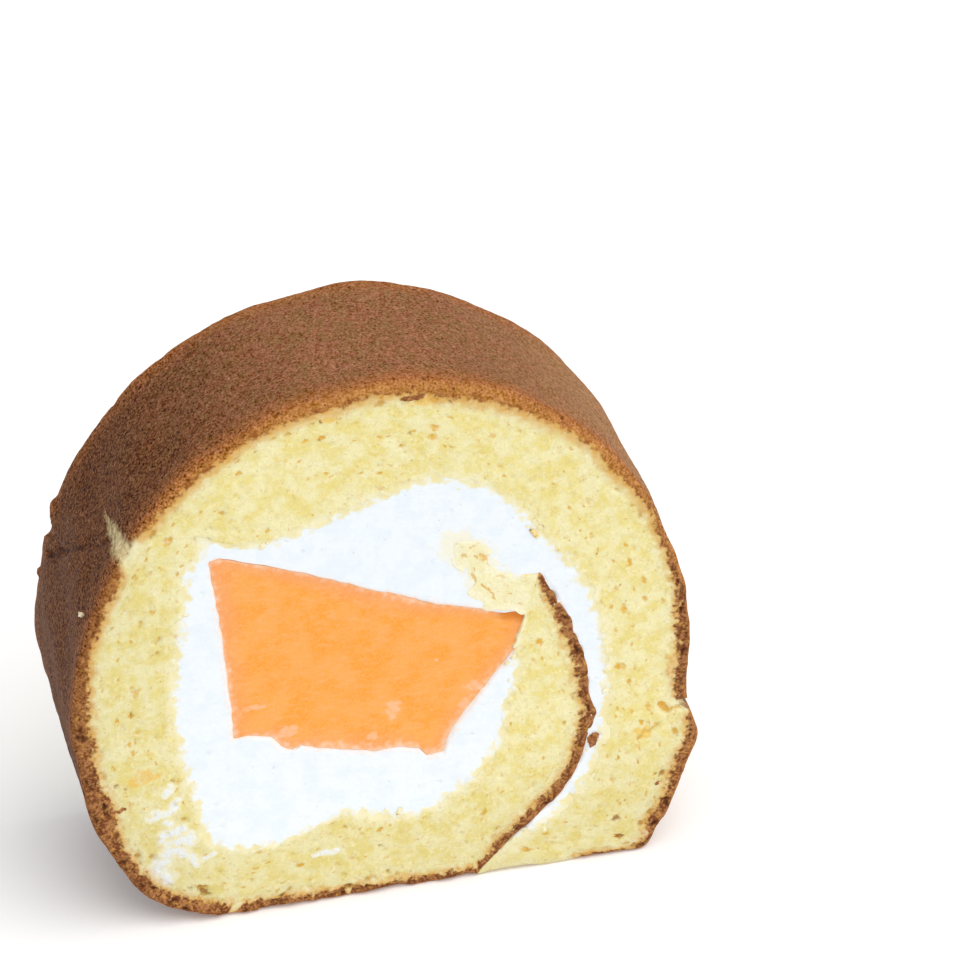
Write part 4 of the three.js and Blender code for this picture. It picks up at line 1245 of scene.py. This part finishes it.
creamed_places = creamed_line[(sheet_angle > -420) & (sheet_angle < CREAMED_START)]
crumb_spots = crumbs_along(creamed_places, CRUMB_COUNT, 600)
sponge_crumbs = lumps("sponge_crumbs", crumb_spots, FRONT + 0.1, 610)
crust_flakes = lumps("crust_flakes", CRUST_FLAKES, FRONT + 0.05, 620)
ochre_crumbs = lumps("ochre_crumbs", OCHRE_CRUMBS, FRONT + 0.12, 630)
skin_crumb = lumps("skin_crumb", SKIN_CRUMB, SKIN_CRUMB_Y, 640, 0.6)

# %% Their finishes
for piece, pale, warm, height in (
    (skin_crumb, (250, 240, 214), (226, 206, 168), 0.1),
    (sponge_crumbs, (250, 244, 214), (243, 230, 176), 0.08),
    (crust_flakes, (146, 90, 50), (190, 130, 78), 0.2),
    (ochre_crumbs, (246, 222, 160), (232, 190, 108), 0.12),
):
    lump_material, start, at = new_material(piece.name + "_finish")
    speckle = at.cloud(0.45, 3)
    finish_material(start, {
        "Base Color": speckle.between(0.4, 0.65).blend(pale, warm),
        "Roughness": 0.8,
        "Specular IOR Level": 0.2,
    }, speckle * height)
    piece.data.materials.append(lump_material)
print("materials:", [material.name for material in bpy.data.materials])

# %% [markdown]
# Plain soft light: one wide sun to the right, in front and high up, and a bright even surround that a
# white floor throws back. A sun lights the whole floor alike, where a panel would leave a gradient.
# The view transform is the plain one, so that a colour comes out as it is given.

# %% Light and floor
FLOOR_HALF = 1.6  # m
FLOOR_GLOW = 0.12  # it keeps the floor white round the soft shadow
SUN_FROM = (0.25, -0.4, 0.88)  # to the right, in front and high
SUN_STRENGTH, SUN_WIDTH, SUN_COLOUR = 1.95, np.radians(60), (1.0, 0.99, 0.97)
SURROUND_STRENGTH, SURROUND_COLOUR = 0.5, (0.97, 0.985, 1.0, 1.0)

corners = [(x * FLOOR_HALF, y * FLOOR_HALF, 0) for x, y in ((-1, -1), (1, -1), (1, 1), (-1, 1))]
floor_mesh = bpy.data.meshes.new("floor")
floor_mesh.from_pydata(corners, [], [(0, 1, 2, 3)])
floor = bpy.data.objects.new("floor", floor_mesh)
bpy.context.scene.collection.objects.link(floor)
floor_material, start = new_material("pale_floor")[:2]
finish_material(start, {
    "Base Color": colour(253, 253, 253), "Roughness": 0.8,
    "Emission Color": (1.0, 1.0, 1.0, 1.0), "Emission Strength": FLOOR_GLOW,
})
floor.data.materials.append(floor_material)

sun_light = bpy.data.lights.new("soft_sun", "SUN")
sun_light.energy, sun_light.angle, sun_light.color = SUN_STRENGTH, SUN_WIDTH, SUN_COLOUR
sun = bpy.data.objects.new("soft_sun", sun_light)
bpy.context.scene.collection.objects.link(sun)
sun.rotation_euler = (-Vector(SUN_FROM)).to_track_quat("-Z", "Y").to_euler()
world = bpy.data.worlds.new("surround")
world.use_nodes = True
surround = world.node_tree.nodes["Background"]
surround.inputs["Color"].default_value = SURROUND_COLOUR
surround.inputs["Strength"].default_value = SURROUND_STRENGTH
bpy.context.scene.world = world
bpy.context.scene.view_settings.view_transform = "Standard"
print("the sun is", SUN_STRENGTH, "strong and the surround", SURROUND_STRENGTH)
